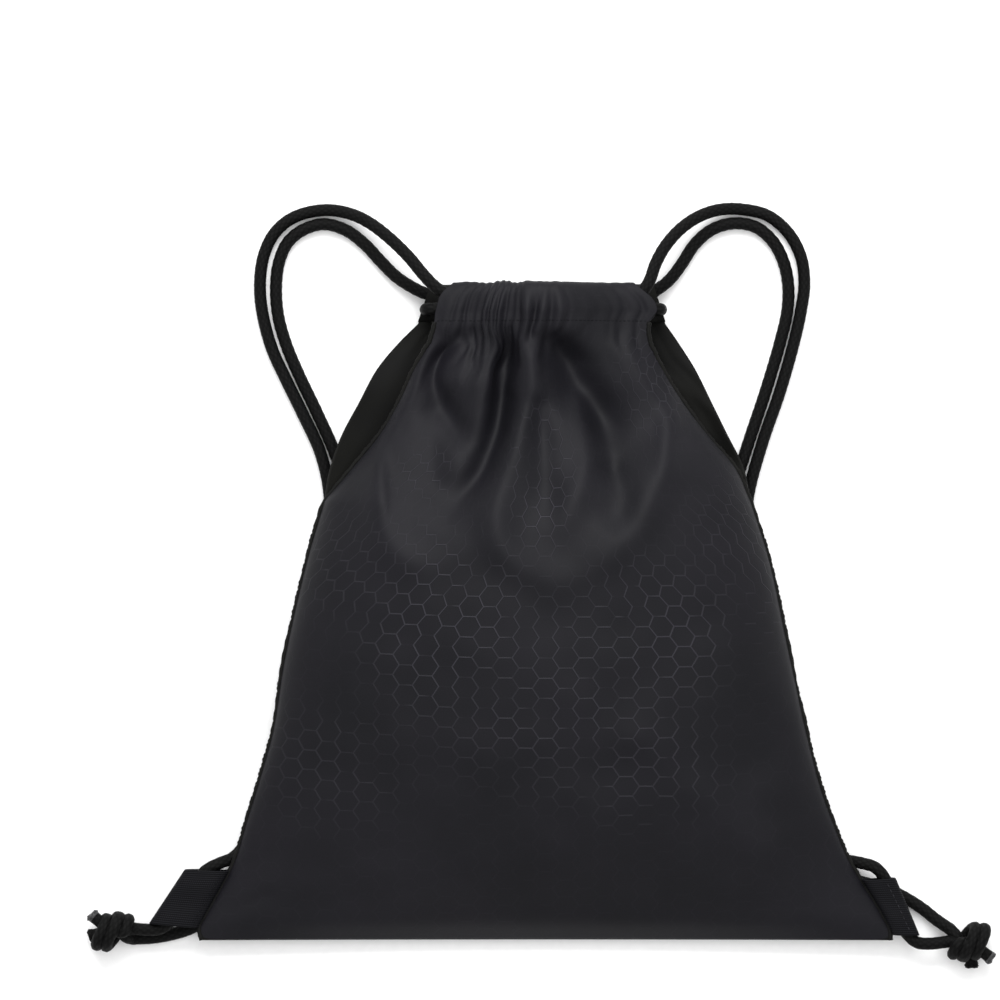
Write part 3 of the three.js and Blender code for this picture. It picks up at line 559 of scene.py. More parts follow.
def ribbed_webbing(tree):
    # Polypropylene webbing: thick ribs across its length, each crossed by the twill of its warp.
    # Ribs 1.4 mm apart and twill lines 1.3 mm apart.
    parts = add(tree, "ShaderNodeSeparateXYZ", {"Vector": map_of(tree)}).outputs
    rib = number(tree, "SINE", number(tree, "MULTIPLY", parts[1], math.tau / 0.0014))
    slope = number(tree, "PINGPONG", parts[1], 0.006)
    lean = number(tree, "ADD", slope, parts[0])
    twill = number(tree, "SINE", number(tree, "MULTIPLY", lean, math.tau / 0.0013))
    height = number(tree, "MULTIPLY_ADD", twill, 0.45, rib)
    inputs = {"Value": height, "From Min": -1.45, "From Max": 1.45}
    rib_relief_and_painted_shade = add(tree, "ShaderNodeMapRange", inputs).outputs[0]
    return {
        "IOR": 1.49, "Specular IOR Level": 0.08,
        # Base colour from the height of the weave: painted shade in the grooves between the ribs and a
        # painted highlight on their crowns.
        "Base Color": ramp(tree, rib_relief_and_painted_shade, (0.2, "#060608"), (0.7, "#0e0e11"), (1.0, "#1c1c20")),
        "Roughness": ramp(tree, rib_relief_and_painted_shade, (0.0, 0.8), (1.0, 0.55)),
        "Normal": bump(tree, rib_relief_and_painted_shade, 0.6, 0.0004),
    }


def sewing_thread(tree, dark, light):
    # Black polyester thread of three plies. Its base colour runs from dark to light across each ply: a
    # painted glint on each ply.
    inputs = {"Vector": place_in_piece(tree), "Scale": 700.0, "Distortion": 1.0}
    wave = add(tree, "ShaderNodeTexWave", inputs, wave_type="BANDS", bands_direction="DIAGONAL")
    ply_relief_and_painted_glint = wave.outputs["Fac"]
    return {
        "Roughness": 0.5, "IOR": 1.53, "Specular IOR Level": 0.08,
        # Base colour: painted glint on each ply.
        "Base Color": ramp(tree, ply_relief_and_painted_glint, (0.2, dark), (0.9, light)),
        "Normal": bump(tree, ply_relief_and_painted_glint, 0.5, 0.0002),
    }


def matt_card(tree):
    # Matt white card under the bag: nearly even, with a faint tooth.
    tooth = noise(tree, place_in_piece(tree), 160.0, 3.0)
    return {
        "Roughness": 0.9, "Specular IOR Level": 0.2,
        "Base Color": ramp(tree, tooth, (0.3, "#f6f6f6"), (0.7, "#fafafa")),
    }


CORD_FINISH = new_material("braided_polyester_cord", braided_cord)
END_FINISH = new_material("singed_polyester_end", singed_end)
FRONT_FINISH = new_material("embossed_polyester_cloth", hexagon_cloth)
BACK_FINISH = new_material("coated_polyester_cloth", coated_cloth)
WEBBING_FINISH = new_material("woven_polypropylene_webbing", ribbed_webbing)
# The second colour of each thread is the painted glint on its plies.
THREAD_FINISH = new_material("black_polyester_thread", sewing_thread, "#0b0b0e", "#121216")
# The same thread drawn lighter, with a brighter painted glint on its plies, for the right tab's stitches.
LIGHTER_GLINT_THREAD_FINISH = new_material("lighter_polyester_thread", sewing_thread, "#121214", "#343438")
CARD_FINISH = new_material("matt_white_card", matt_card)


def finish_with(piece, material):
    piece.data.materials.clear()
    piece.data.materials.append(material)


# Cords.

def braid_height(turn, run):
    """Relief of the braid, 0 to 1, at a share of a turn round the cord and a length along it."""
    left = CARRIERS * turn + run / BRAID_PITCH
    right = CARRIERS * turn - run / BRAID_PITCH
    return np.abs(np.sin(math.pi * left)) * np.abs(np.sin(math.pi * right))


def cord_tube(name, line):
    """A braided tube round a line, with its two ends drawn in."""
    turn, run = np.meshgrid(np.linspace(0.0, 1.0, CORD_SIDES + 1), run_along(line))
    radius = CORD / 2 - BRAID_RELIEF * (1 - braid_height(turn, run))
    piece = tube_round(name, line, frames_along(line), radius, np.stack([turn, run], axis=2))
    finish_with(piece, CORD_FINISH)
    return piece


# Where the strands come out of the ends of the hems
SIDES = {"right": 1, "left": -1}


def lane_point(x, side, is_back):
    """Middle of a cord inside a hem, on the bag. side is the side on which it leaves the bag."""
    twist = (math.pi / 2) * (1 - math.sin((math.pi / 2) * min(1.0, max(-1.0, x / HALF_HEM))))
    half_tunnel = TUNNEL + LANE * math.sin(twist)
    middle = half_tunnel + HEM_FLOOR if is_back else 3 * (half_tunnel + HEM_FLOOR) + MOUTH
    reach = side * LANE
    return [x, HEM_MIDDLE + reach * math.cos(twist), middle + reach * math.sin(twist)]


def run_inside_hems(side):
    """A cord's way through the front hem, round its bight and back through the back hem."""
    places = np.linspace(side * STRAND_START, -side * LANE_END, LANE_POINTS)
    way_out = [lane_point(x, side, False) for x in places]
    way_back = [lane_point(x, side, True) for x in places[::-1]]
    (_, y, high), (_, _, low) = way_out[-1], way_back[0]
    turn = []
    for k in range(BIGHT_STEPS + 1):
        angle = math.pi * (0.5 - k / BIGHT_STEPS)
        out = max(0.0, math.cos(angle)) ** BIGHT_ROUNDNESS
        lift = math.copysign(abs(math.sin(angle)) ** BIGHT_ROUNDNESS, math.sin(angle))
        x = -side * (BIGHT_START + BIGHT_REACH * out)
        turn.append([x, y, (high + low) / 2 + lift * (high - low) / 2])
    return place(way_out + turn + way_back)


def route_of_strand(name, side, is_back):
    """A free strand from its start inside the hem along its route to the knot."""
    places = (STRAND_START, STRAND_START + CORD / 2 / MM)
    starts = [lane_point(side * x, side, is_back) for x in places]
    return np.vstack([place(starts), ROUTES[name]])


strands = {}
inside_hems = {}
for side, sign in SIDES.items():
    for layer in ("front", "back"):
        key = f"{side}_{layer}"
        line, length = smooth_line(route_of_strand(key, sign, layer == "back"), CORD_STEP)
        strands[key] = (cord_tube(f"{key}_cord", line), line, length)
    line, _ = smooth_line(run_inside_hems(sign), CORD_STEP)
    inside_hems[side] = cord_tube(f"{side}_cord_inside_hems", line)


# Knots.

KNOT_HALF = 0.0128  # height of a knot's middle
KNOT_STEP = 0.0009
KNOT_TURN_POINTS = 11
# Each knot: its middle, its direction in degrees, and which of its tails ends dark. Each tail:
# its direction in degrees, the height of its end and how far it reaches from the middle.
KNOTS = {
    "left": {
        "middle": (-0.26956, -0.20325, KNOT_HALF), "turn": 176, "dark": 1,
        "tails": [(140, 0.0125, 0.0152), (192, 0.0080, 0.0130)],
    },
    "right": {
        "middle": (0.27744, -0.20965, KNOT_HALF), "turn": -4, "dark": 0,
        "tails": [(-84, 0.0080, 0.0146), (-38, 0.0120, 0.0160)],
    },
}


def knot_lines(entries, tails, middle, turn):
    """Middle lines of the two cords in an overhand knot, in metres in the part's frame."""
    cos, sin = math.cos(math.radians(turn)), math.sin(math.radians(turn))

    def out(x, y, z):
        return (middle[0] + x * cos - y * sin, middle[1] + x * sin + y * cos, middle[2] + z)

    lines = []
    for k, (entry, (heading, height, reach)) in enumerate(zip(entries, tails)):
        lead = 0.0031 * (1 if k == 0 else -1)
        points = [*entry, out(-0.008, -lead * 0.5, 0.001 - 0.002 * k)]
        # One and a quarter turns round the middle, which lean back over the way in.
        for step in range(KNOT_TURN_POINTS):
            angle = math.radians(-100 + 45 * step)
            lean = 0.0047 - 0.0009 * step
            radius = 0.0092 * (1 - ((lead + lean) / 0.019) ** 2)
            wide = 1.02 * radius * math.sin(angle)
            points.append(out(lead + lean + 0.52 * wide, wide, radius * math.cos(angle)))
        points.append(out(0.004, lead * 0.6, -0.003))
        direction = math.radians(heading - turn)
        for away in (reach - 0.0096, reach - 0.0048, reach):
            x, y = away * math.cos(direction), away * math.sin(direction)
            points.append(out(x, y, height - KNOT_HALF))
        lines.append(points)
    return lines


END_RINGS = 7
END_SIDES = 28


def frayed_end(name, line, finish):
    """The singed end of a cut cord: a short ragged plug that swells out of the last braid."""
    end = line[-1]
    ahead = unit(end - line[-2])
    sides, ups = frames_along(line)
    random = np.random.default_rng(len(name) * 7 + 3)
    angle = math.tau * np.arange(END_SIDES) / END_SIDES
    out = sides[-1] * np.cos(angle)[:, None] + ups[-1] * np.sin(angle)[:, None]
    rows = [np.repeat((end - ahead * END_DRAW)[None, :], END_SIDES + 1, axis=0)]
    for k in range(END_RINGS + 1):
        share = k / END_RINGS
        radius = (CORD / 2) * (1.03 if k < END_RINGS - 1 else 0.72 if k < END_RINGS else 0.0)
        reach = 0.0034 * share - END_DRAW
        ragged = 1 + 0.10 * random.standard_normal(END_SIDES) * (share > 0.2)
        tips = 0.0005 * random.standard_normal(END_SIDES) * (0.4 < share < 1)
        ring = end + ahead * (reach + tips)[:, None] + out * (radius * ragged)[:, None]
        rows.append(np.vstack([ring, ring[:1]]))
    maps = grid_of(np.linspace(0, 1, END_SIDES + 1), np.linspace(0, 0.004, len(rows)))
    piece = shaped_grid(name, np.array(rows), maps, closed=True)
    finish_with(piece, finish)
    return piece


def knot_of(side, facts):
    entries = []
    for layer in ("front", "back"):
        line = strands[f"{side}_{layer}"][1]
        ahead = unit(line[-1] - line[-3])
        entries.append((line[-1] - ahead * 0.0006, line[-1] + ahead * 0.003))
    tubes = []
    for k, points in enumerate(knot_lines(entries, facts["tails"], facts["middle"], facts["turn"])):
        line, _ = smooth_line(points, KNOT_STEP)
        finish = CORD_FINISH if k == facts["dark"] else END_FINISH
        tubes.append(cord_tube(f"{side}_knot_cord_{k}", line))
        tubes.append(frayed_end(f"{side}_knot_end_{k}", line, finish))
    return joined(f"{side}_overhand_knot", tubes)


knots = {side: knot_of(side, facts) for side, facts in KNOTS.items()}


# Shape of the bag, in millimetres measured on the bag.

BOTTOM_WIDTH = 450.0
PANEL_HEIGHT = 394.0
CROWN = 80.0
BOTTOM_SEAM_RISE = 7.0
SIDE_SEAM_RISE = 26.0
VENT_LENGTH = 113.0
SEAM_FADE = 60.0
CORNER_LEFT = 12.0
CORNER_RIGHT = 7.0
BOTTOM_SEAM = 1.2
BACK_CURL = 45.0
HEM_BLEND = 45.0
CLOTH = 0.9
HEM_WALL = 1.2
NECK_HALF = 63.0
SEAM_GAP = 0.3
SUPERELLIPSE = 2 / 3  # exponent of the hem and tab sections: 1 is an ellipse, less is squarer
SPREAD = BOTTOM_WIDTH / 2 - NECK_HALF
SEAM_HEIGHT = PANEL_HEIGHT - VENT_LENGTH

# Share of the side seam's height, left, right, rise, crown
SEAM_ROWS = np.array([
    (0.0, 1.0, 1.0, 0.54, 0.1), (0.045, 0.955, 0.96, 0.54, 0.28),
    (0.089, 0.915, 0.92, 0.54, 0.375), (0.181, 0.84, 0.834, 0.57, 0.55),
    (0.274, 0.791, 0.766, 0.7, 0.68), (0.363, 0.742, 0.711, 0.85, 0.775),
    (0.502, 0.674, 0.649, 0.96, 0.9), (0.683, 0.612, 0.581, 1.0, 0.98),
    (0.865, 0.538, 0.513, 1.0, 1.0), (1.0, 0.47, 0.439, 1.0, 0.95),
])
# Share of the vent's length, left, right, rise, crown, left and right edge of the back panel
VENT_ROWS = np.array([
    (0.0, 0.47, 0.439, 1.0, 0.95, 0.47, 0.439), (0.168, 0.37, 0.375, 0.93, 0.89, 0.451, 0.405),
    (0.372, 0.253, 0.253, 0.78, 0.81, 0.402, 0.334), (0.558, 0.176, 0.155, 0.62, 0.74, 0.334, 0.272),
    (0.743, 0.117, 0.075, 0.46, 0.67, 0.266, 0.21), (0.885, 0.056, 0.025, 0.36, 0.62, 0.185, 0.148),
    (1.0, 0.0, 0.0, 0.3, 0.59, 0.105, 0.093),
])
LEFT, RIGHT, RISE, HEIGHT, BACK_LEFT, BACK_RIGHT = 1, 2, 3, 4, 5, 6

# Folds of the front panel: its depth (a valley is negative), its width and points along it
FOLDS = [
    (-10.5, 9.0, [(-42, 392), (-53, 384), (-66, 371), (-69, 358), (-65, 344), (-56, 328),
                  (-49, 316), (-44, 301)]),
    (-14.0, 9.0, [(-27, 396), (-23, 376), (-26, 348), (-29, 326), (-38, 301), (-53, 280),
                  (-64, 260)]),
    (5.5, 12.0, [(-21, 396), (-10, 376), (-8, 344), (-17, 322), (-27, 296), (-31, 268),
                 (-24, 248), (-8, 236), (12, 231), (34, 238)]),
    (-5.0, 10.0, [(-3, 340), (0, 300), (1, 262)]),
    (-17.5, 16.0, [(-2, 402), (11, 376), (24, 350), (36, 333), (41, 315), (46, 290)]),
    (4.5, 10.0, [(22, 344), (28, 309), (22, 290), (13, 267), (9, 245)]),
    (5.0, 13.0, [(41, 392), (58, 365), (77, 333), (76, 303), (68, 284), (53, 260),
                 (34, 243), (13, 232), (-9, 234), (-22, 244)]),
    (-5.0, 12.0, [(44, 300), (49, 277), (38, 260)]),
    (4.5, 11.0, [(-70, 384), (-84, 358), (-97, 330), (-103, 304), (-104, 282), (-101, 262),
                 (-92, 248), (-79, 241), (-58, 244), (-42, 254)]),
    (-5.0, 14.0, [(-72, 336), (-69, 310), (-66, 282), (-58, 264)]),
    (-3.0, 5.0, [(-60, 398), (-62, 384), (-70, 366)]),
    (-3.0, 3.5, [(6, 398), (7, 385), (10, 372)]),
    (-3.0, 5.0, [(52, 401), (64, 390), (76, 380), (86, 366)]),
    (3.0, 20.0, [(60, 130), (100, 92), (150, 52), (192, 22)]),
    (-2.0, 6.0, [(177, 13), (205, 10), (224, 7)]),
    (-1.6, 6.0, [(-176, 30), (-198, 20), (-214, 12)]),
]
FOLD_STEP = 4.0

# Crest below the gathered part: the cloth falls away from it towards the neck, in two lobes
CREST = np.array([
    (-150, 400), (-120, 386), (-110, 336), (-104, 292), (-97, 260), (-84, 245), (-60, 243),
    (-40, 250), (-28, 248), (-12, 240), (4, 237), (20, 243), (40, 252), (56, 268), (70, 290),
    (82, 326), (96, 362), (140, 388),
], dtype=float)
CREST_DROP = 5.5
CREST_RUN = 52.0


def clamp(value, low=0.0, high=1.0):
    return np.minimum(high, np.maximum(low, value))


def smooth(value):
    value = clamp(value)
    return value * value * (3 - 2 * value)


def mix(a, b, share):
    return a + (b - a) * share


def look_up(rows, column, at):
    """Smooth curve through one column of a table, as in the part's source."""
    xs, ys = rows[:, 0], rows[:, column]
    slopes = np.empty_like(ys)
    slopes[1:-1] = (ys[2:] - ys[:-2]) / (xs[2:] - xs[:-2])
    slopes[0] = (ys[1] - ys[0]) / (xs[1] - xs[0])
    slopes[-1] = (ys[-1] - ys[-2]) / (xs[-1] - xs[-2])
    k = np.clip(np.searchsorted(xs, at) - 1, 0, len(xs) - 2)
    span = xs[k + 1] - xs[k]
    u = clamp((at - xs[k]) / span)
    a, b = slopes[k] * span, slopes[k + 1] * span
    rise = ys[k + 1] - ys[k]
    return ys[k] + u * (a + u * (3 * rise - 2 * a - b + u * (a + b - 2 * rise)))


def table_value(column, y):
    low = look_up(SEAM_ROWS, min(column, HEIGHT), y / SEAM_HEIGHT)
    high = look_up(VENT_ROWS, column, (y - SEAM_HEIGHT) / VENT_LENGTH)
    if column in (BACK_LEFT, BACK_RIGHT):
        low = look_up(SEAM_ROWS, column - BACK_LEFT + LEFT, y / SEAM_HEIGHT)
    return np.where(y <= SEAM_HEIGHT, low, high)


def half_width(t, y, is_back):
    left, right = (BACK_LEFT, BACK_RIGHT) if is_back else (LEFT, RIGHT)
    round_by = np.where(t < 0, CORNER_LEFT, CORNER_RIGHT)
    corner = round_by - np.sqrt(round_by ** 2 - clamp(round_by - y, 0.0, round_by) ** 2)
    # The side seams draw in where their welts stand out.
    drawn_left = 2.0 * smooth((y - 15) / 40) * smooth((175 - y) / 50)
    drawn_right = 2.6 * smooth((y - 15) / 40) * smooth((310 - y) / 30)
    out = np.where(t < 0, table_value(left, y), table_value(right, y))
    return NECK_HALF + SPREAD * out - corner - np.where(t < 0, drawn_left, drawn_right)


def tunnel_height(x):
    along = clamp(x / HALF_HEM, -1.0, 1.0)
    return TUNNEL + LANE * np.sin((math.pi / 2) * (1 - np.sin((math.pi / 2) * along)))


def hem_height(x, is_back):
    """Height of the middle of a hem at a place along it."""
    wall = tunnel_height(x) + HEM_FLOOR
    return wall if is_back else 3 * wall + MOUTH


def into_hem(y):
    """Share of the hem in a panel's height, which runs into it over its last stretch."""
    return smooth(1 - (PANEL_HEIGHT - y) / HEM_BLEND)


def seam_height(t, y):
    side = SIDE_SEAM_RISE * table_value(RISE, y)
    return side - (side - BOTTOM_SEAM_RISE) * (1 - t * t) * clamp(1 - y / SEAM_FADE)


def front_edge_height(t, y):
    vent = mix(SIDE_SEAM_RISE, hem_height(HALF_HEM, False), smooth((y - SEAM_HEIGHT) / VENT_LENGTH))
    return np.where(y <= SEAM_HEIGHT, seam_height(t, y), vent)


def distance_to(line, x, y):
    """Distance from a line of points and the share of the way along it."""
    run = run_along(line)
    best = np.full(x.shape, 1e9)
    share = np.zeros(x.shape)
    for k in range(len(line) - 1):
        dx, dy = line[k + 1] - line[k]
        u = clamp(((x - line[k, 0]) * dx + (y - line[k, 1]) * dy) / (dx * dx + dy * dy))
        gap = np.hypot(x - line[k, 0] - u * dx, y - line[k, 1] - u * dy)
        share = np.where(gap < best, mix(run[k], run[k + 1], u) / run[-1], share)
        best = np.minimum(best, gap)
    return best, share


def fold_height(x, y):
    height = np.zeros(x.shape)
    for depth, width, line in FOLDS:
        bent, _ = smooth_line([(a, b, 0.0) for a, b in line], FOLD_STEP)
        gap, share = distance_to(bent[:, :2], x, y)
        reach = gap / (width * (0.7 + 0.5 * share))
        height += depth * np.exp(-reach ** 1.8) * smooth(2.2 * (1 - share) + 0.1)
    return height


def waves(x, y, size, seed):
    """Soft even noise, about -1 to 1, with features of the given size in millimetres."""
    random = np.random.default_rng(seed)
    total = np.zeros(x.shape)
    for _ in range(14):
        angle, phase = random.uniform(0, math.tau, 2)
        rate = math.tau / (size * random.uniform(0.7, 1.6))
        total += np.sin(rate * (x * math.cos(angle) + y * math.sin(angle)) + phase)
    return total / 3.7


def crest_drop(x, y):
    crest = np.interp(x, CREST[:, 0], CREST[:, 1])
    above = y - crest
    return -CREST_DROP * smooth(above / CREST_RUN) * smooth((PANEL_HEIGHT - 8 - y) / 60)


# Gathers, tight on the left of the middle and slack on the right: place along the hem, pitch
PITCHES = np.array([
    (-69, 9.0), (-60, 8.0), (-42, 6.5), (-30, 4.6), (-20, 5.0), (-12, 8.5), (4, 12.0),
    (24, 19.0), (46, 20.0), (69, 11.0),
])
# Place along the hem, height of the gathers
GATHERS = np.array([
    (-69, 0.6), (-58, 2.2), (-40, 3.2), (-28, 4.2), (-18, 3.8), (-6, 2.6), (8, 1.8),
    (20, 0.5), (46, 0.4), (60, 0.9), (69, 0.6),
])
GATHERED_TO = -26  # the gathers draw together towards this place
# Single creases across the hem: place along it, depth and width
CREASES = [(5.0, 2.4, 2.6), (-6.0, 1.6, 2.2), (50.0, 1.6, 3.0), (61.0, 1.4, 2.4)]
GATHER_X = np.linspace(-HALF_HEM, HALF_HEM, 1200)
GATHER_STEPS = np.diff(GATHER_X) / np.interp(GATHER_X[1:], *PITCHES.T)
GATHER_TURNS = np.concatenate([[0.0], np.cumsum(GATHER_STEPS)])


def ruffle(x, depth):
    """Height of the gathers at a place along the hem, and how it dies out down the panel."""
    near = np.exp(-((x - GATHERED_TO) / 34) ** 2)
    x = x + (x - GATHERED_TO) * 0.4 * smooth((depth + 4) / 22) * near
    wander = 1.6 * waves(x, depth * 0.9, 34.0, 5) + 0.7 * waves(x, depth * 1.1, 14.0, 6)
    turns = np.interp(x, GATHER_X, GATHER_TURNS) + wander * 0.22
    tall = np.interp(x, *GATHERS.T)
    uneven = 1 + 0.45 * waves(x, depth * 0.4, 13.0, 7)
    sharp = 1.3 * np.abs(np.sin(math.pi * turns)) - 0.5
    broad = np.sin(math.pi * turns * 0.42 + 0.6)
    edge = 1 - 0.8 * smooth((-depth - 1.0) / 4.5)
    down = clamp(depth, 0, 400)
    fine = tall * uneven * sharp * np.exp(-(down / 20.0) ** 1.3)
    for middle, deep, wide in CREASES:
        fine = fine - deep * np.exp(-((x - middle) / wide) ** 2 - (down / 22.0) ** 2)
    return edge * (fine + 0.9 * tall * broad * np.exp(-(down / 46.0) ** 1.4))


# Height above the bottom seam, and how far the front hem reaches to the left and right there
HEM_ENDS = np.array([
    (394.0, 69.0, 66.5), (398.0, 69.0, 70.5), (402.0, 68.0, 72.0), (406.0, 67.0, 71.0),
    (410.0, 66.0, 68.0), (414.0, 63.0, 63.0), (419.5, 56.5, 56.5),
])
# Angles round a hem's section where its cloth leaves the panel and where it ends
HEM_START = math.radians(122)
BACK_HEM_START = math.radians(158)
HEM_END = math.radians(-160)


def squared(value):
    """Sine or cosine of an ellipse turned into that of a squarer section."""
    return np.sign(value) * np.abs(value) ** SUPERELLIPSE


def hem_reach(x, y):
    """How far the front hem reaches at a height, on the side on which x lies."""
    heights, left, right = HEM_ENDS.T
    return np.where(x < 0, np.interp(y, heights, left), np.interp(y, heights, right))


def hem_ring(x, angle, is_back):
    """Height up the bag and off the surface of a hem's outside, at an angle round it."""
    y = HEM_MIDDLE + HEM_WIDTH / 2 * squared(np.cos(angle))
    z = hem_height(x, is_back) + (tunnel_height(x) + HEM_WALL) * squared(np.sin(angle))
    return y, z


def eased(z, t, y):
    """Takes the kink at the top of the side seams out of a grid of heights, away from its edges."""
    total, weights = np.zeros_like(z), 0.0
    rows = np.arange(len(z))
    for shift in range(-18, 19):
        weight = math.exp(-(shift / 8.0) ** 2)
        total += weight * z[np.clip(rows + shift, 0, len(z) - 1)]
        weights += weight
    share = smooth(7 * (1 - np.abs(t))) * smooth((y - 120) / 60) * smooth((PANEL_HEIGHT - 10 - y) / 40)
    return mix(z, total / weights, share)


def front_surface(t, y):
    """Outside of the front panel, without its gathers."""
    x = t * half_width(t, y, False)
    edge = front_edge_height(t, y)
    puff = CROWN * table_value(HEIGHT, y) - front_edge_height(np.zeros_like(t), y)
    dome = (1 - np.abs(t) ** 2.2) ** 0.6
    rim = smooth(8 * (1 - np.abs(t))) * smooth(y / SEAM_FADE)
    low = eased(edge + puff * dome, t, y)
    _, top = hem_ring(x, HEM_START, False)
    uneven = crest_drop(x, y) + 0.8 * waves(x, y, 95.0, 11) + 0.3 * waves(x, y, 34.0, 12)
    uneven = uneven * smooth((PANEL_HEIGHT - y) / HEM_BLEND)
    folded = fold_height(x, y) * smooth((PANEL_HEIGHT - y) / 26)
    return x, mix(low, top, into_hem(y)) + SEAM_GAP + rim * (uneven + folded)


def back_surface(t, y):
    """Outside of the back panel, which lies flat apart from its edges."""
    x = t * half_width(t, y, True)
    edge = clamp((np.abs(t) - 0.45) / 0.55) ** 1.8
    foot = clamp((BACK_CURL - y) / BACK_CURL) ** 2.4
    rumple = waves(x, y, 34.0, 21) + 0.5 * waves(x + y, 0.4 * y, 11.0, 22)
    low = seam_height(t, y) * (1 - (1 - edge) * (1 - foot))
    low = low + edge * smooth((y - 230) / 60) * np.where(t < 0, 0.35, 1.2) * rumple
    _, top = hem_ring(x, -BACK_HEM_START, True)
    return x, mix(low, top, into_hem(y))


def arc_map(points):
    """Map of a grid in metres: distance along each row from its middle, and up each column."""
    middle = points.shape[1] // 2
    across = run_along(points, axis=1)
    return np.stack([across - across[:, middle:middle + 1], run_along(points)], axis=2)


EMBOSS_SPREAD = 1.15  # the gathered cloth's map runs faster across by up to this share
LOWEST = 0.25
HEM_SINK = 0.9  # the cords inside keep the hem from sinking in further than this


def cloth_grid(is_back, columns, rows, hem_rows):
    """Points of one panel and its hem as one cloth, and the map of its weave."""
    s = np.linspace(-1, 1, columns)
    t_line = 0.6 * s + 0.4 * np.sin(math.pi * s / 2)
    heights = BOTTOM_SEAM + (PANEL_HEIGHT - BOTTOM_SEAM) * np.linspace(0, 1, rows) ** 1.05
    t, y = np.meshgrid(t_line, heights)
    x, z = back_surface(t, y) if is_back else front_surface(t, y)
    # The panel spreads from the neck to the full length of the hem in its last few millimetres.
    if not is_back:
        spread = x * hem_reach(x, PANEL_HEIGHT) / NECK_HALF
        x = mix(x, spread, smooth((y - PANEL_HEIGHT + 14) / 14))
    along = x / np.where(x < 0, -x[:, :1], x[:, -1:]) * HALF_HEM
    depth = PANEL_HEIGHT - y
    start = BACK_HEM_START if is_back else HEM_START
    angles = np.linspace(start, HEM_END, hem_rows + 1)[1:] * (-1 if is_back else 1)
    hem_x, angle = np.meshgrid(along[-1], angles)
    hem_y, hem_z = hem_ring(hem_x, angle, is_back)
    if is_back:
        ring_x = x[-1][None, :] * (1 - 0.1 * clamp((hem_y - PANEL_HEIGHT) / HEM_WIDTH))
    else:
        ring_x = hem_x / HALF_HEM * hem_reach(hem_x, hem_y)
    ring = np.stack([ring_x, hem_y, hem_z], axis=2)
    plain = np.concatenate([np.stack([x, y, z], axis=2), ring])
    weave = arc_map(plain)
    if not is_back:
        up = np.concatenate([y, np.full(hem_x.shape, PANEL_HEIGHT)])
        weave[:, :, 0] *= 1 + EMBOSS_SPREAD * smooth((up - 180.0) / 214.0)
    # Gathers push the cloth out along its own normal.
    normal = unit(np.cross(np.gradient(plain, axis=1), np.gradient(plain, axis=0)))
    normal *= -1 if is_back else 1
    past_seam = hem_y - PANEL_HEIGHT
    gather = np.concatenate([ruffle(along, depth), ruffle(hem_x, -0.25 * past_seam)])
    pinch = np.exp(-np.concatenate([depth / 3.0, (past_seam - 1.0) / 2.0]) ** 2)
    gather = gather * (1 - 0.2 * pinch) - 0.15 * pinch
    across = np.abs(np.concatenate([t, np.repeat(t[-1:], hem_rows, axis=0)]))
    gather *= 0.35 + 0.65 * smooth(6 * (1 - across))
    if is_back:
        gather *= -0.5
    on_hem = np.concatenate([smooth((6 - depth) / 6), np.ones_like(hem_x)])
    gather = mix(gather, np.maximum(gather, -HEM_SINK), on_hem)
    moved = plain + normal * gather[:, :, None]
    for _ in range(2):
        around = (moved[:-2, 1:-1] + moved[2:, 1:-1] + moved[1:-1, :-2] + moved[1:-1, 2:]) / 4
        moved[1:-1, 1:-1] = mix(moved[1:-1, 1:-1], around, 0.5)
    if is_back:
        moved[:, :, 2] = np.maximum(moved[:, :, 2], LOWEST)
    return moved, weave * MM


FRONT_COLUMNS, FRONT_ROWS = 200, 196
front_points, front_map = cloth_grid(False, FRONT_COLUMNS, FRONT_ROWS, 44)
front = shaped_grid("front_cloth", place(front_points), front_map)
back_points, back_map = cloth_grid(True, 150, 130, 34)
back = shaped_grid("back_cloth", place(back_points[:, ::-1]), back_map[:, ::-1])
for cloth, material in ((front, FRONT_FINISH), (back, BACK_FINISH)):
    thicken(cloth, CLOTH * MM)
    apply_all(cloth)
    finish_with(cloth, material)


WELT_RADIUS = 1.15
WELT_STEP = 1.6
WELT_COLUMNS = 13


def welt(name, column, side):
    """The rolled and sewn edge of the front panel: down the vent and along the side seam."""
    line = front_points[:FRONT_ROWS, column] + np.array([side * 0.15, 0.0, 0.15])
    line, _ = smooth_line(line[::5], WELT_STEP)
    run = np.arange(len(line)) * WELT_STEP
    # The seam draws the edge in a little at each stitch, more where it is slack.
    pucker = 0.35 * np.sin(run * math.tau / 9.5) + 0.5 * waves(run, run * 0, 42.0, 31 + side)
    frames = frames_along(line)
    line = line + frames[0] * (0.55 * pucker * side * smooth(run / 30))[:, None]
    swell = np.sin(run * math.tau / 3.1 + 0.8 * waves(run, run * 0, 25.0, 37))
    radius = np.repeat((WELT_RADIUS * (1 + 0.16 * swell))[:, None], WELT_COLUMNS, axis=1)
    maps = grid_of(np.linspace(0, 0.008, WELT_COLUMNS), run * MM)
    piece = tube_round(name, place(line), frames, radius * MM, maps, breadth=1.25)
    finish_with(piece, BACK_FINISH)
    return piece


welts = {"left": welt("left_edge_welt", 0, -1), "right": welt("right_edge_welt", -1, 1)}


# Webbing tabs.

TAB_WIDTH = 38.0
WEBBING = 1.4
TAB_HALF_HEIGHT = TUNNEL + WEBBING
TAB_MIDDLE = 8.3 + TAB_HALF_HEIGHT
TAB_COLUMNS, TAB_ROWS = 40, 65
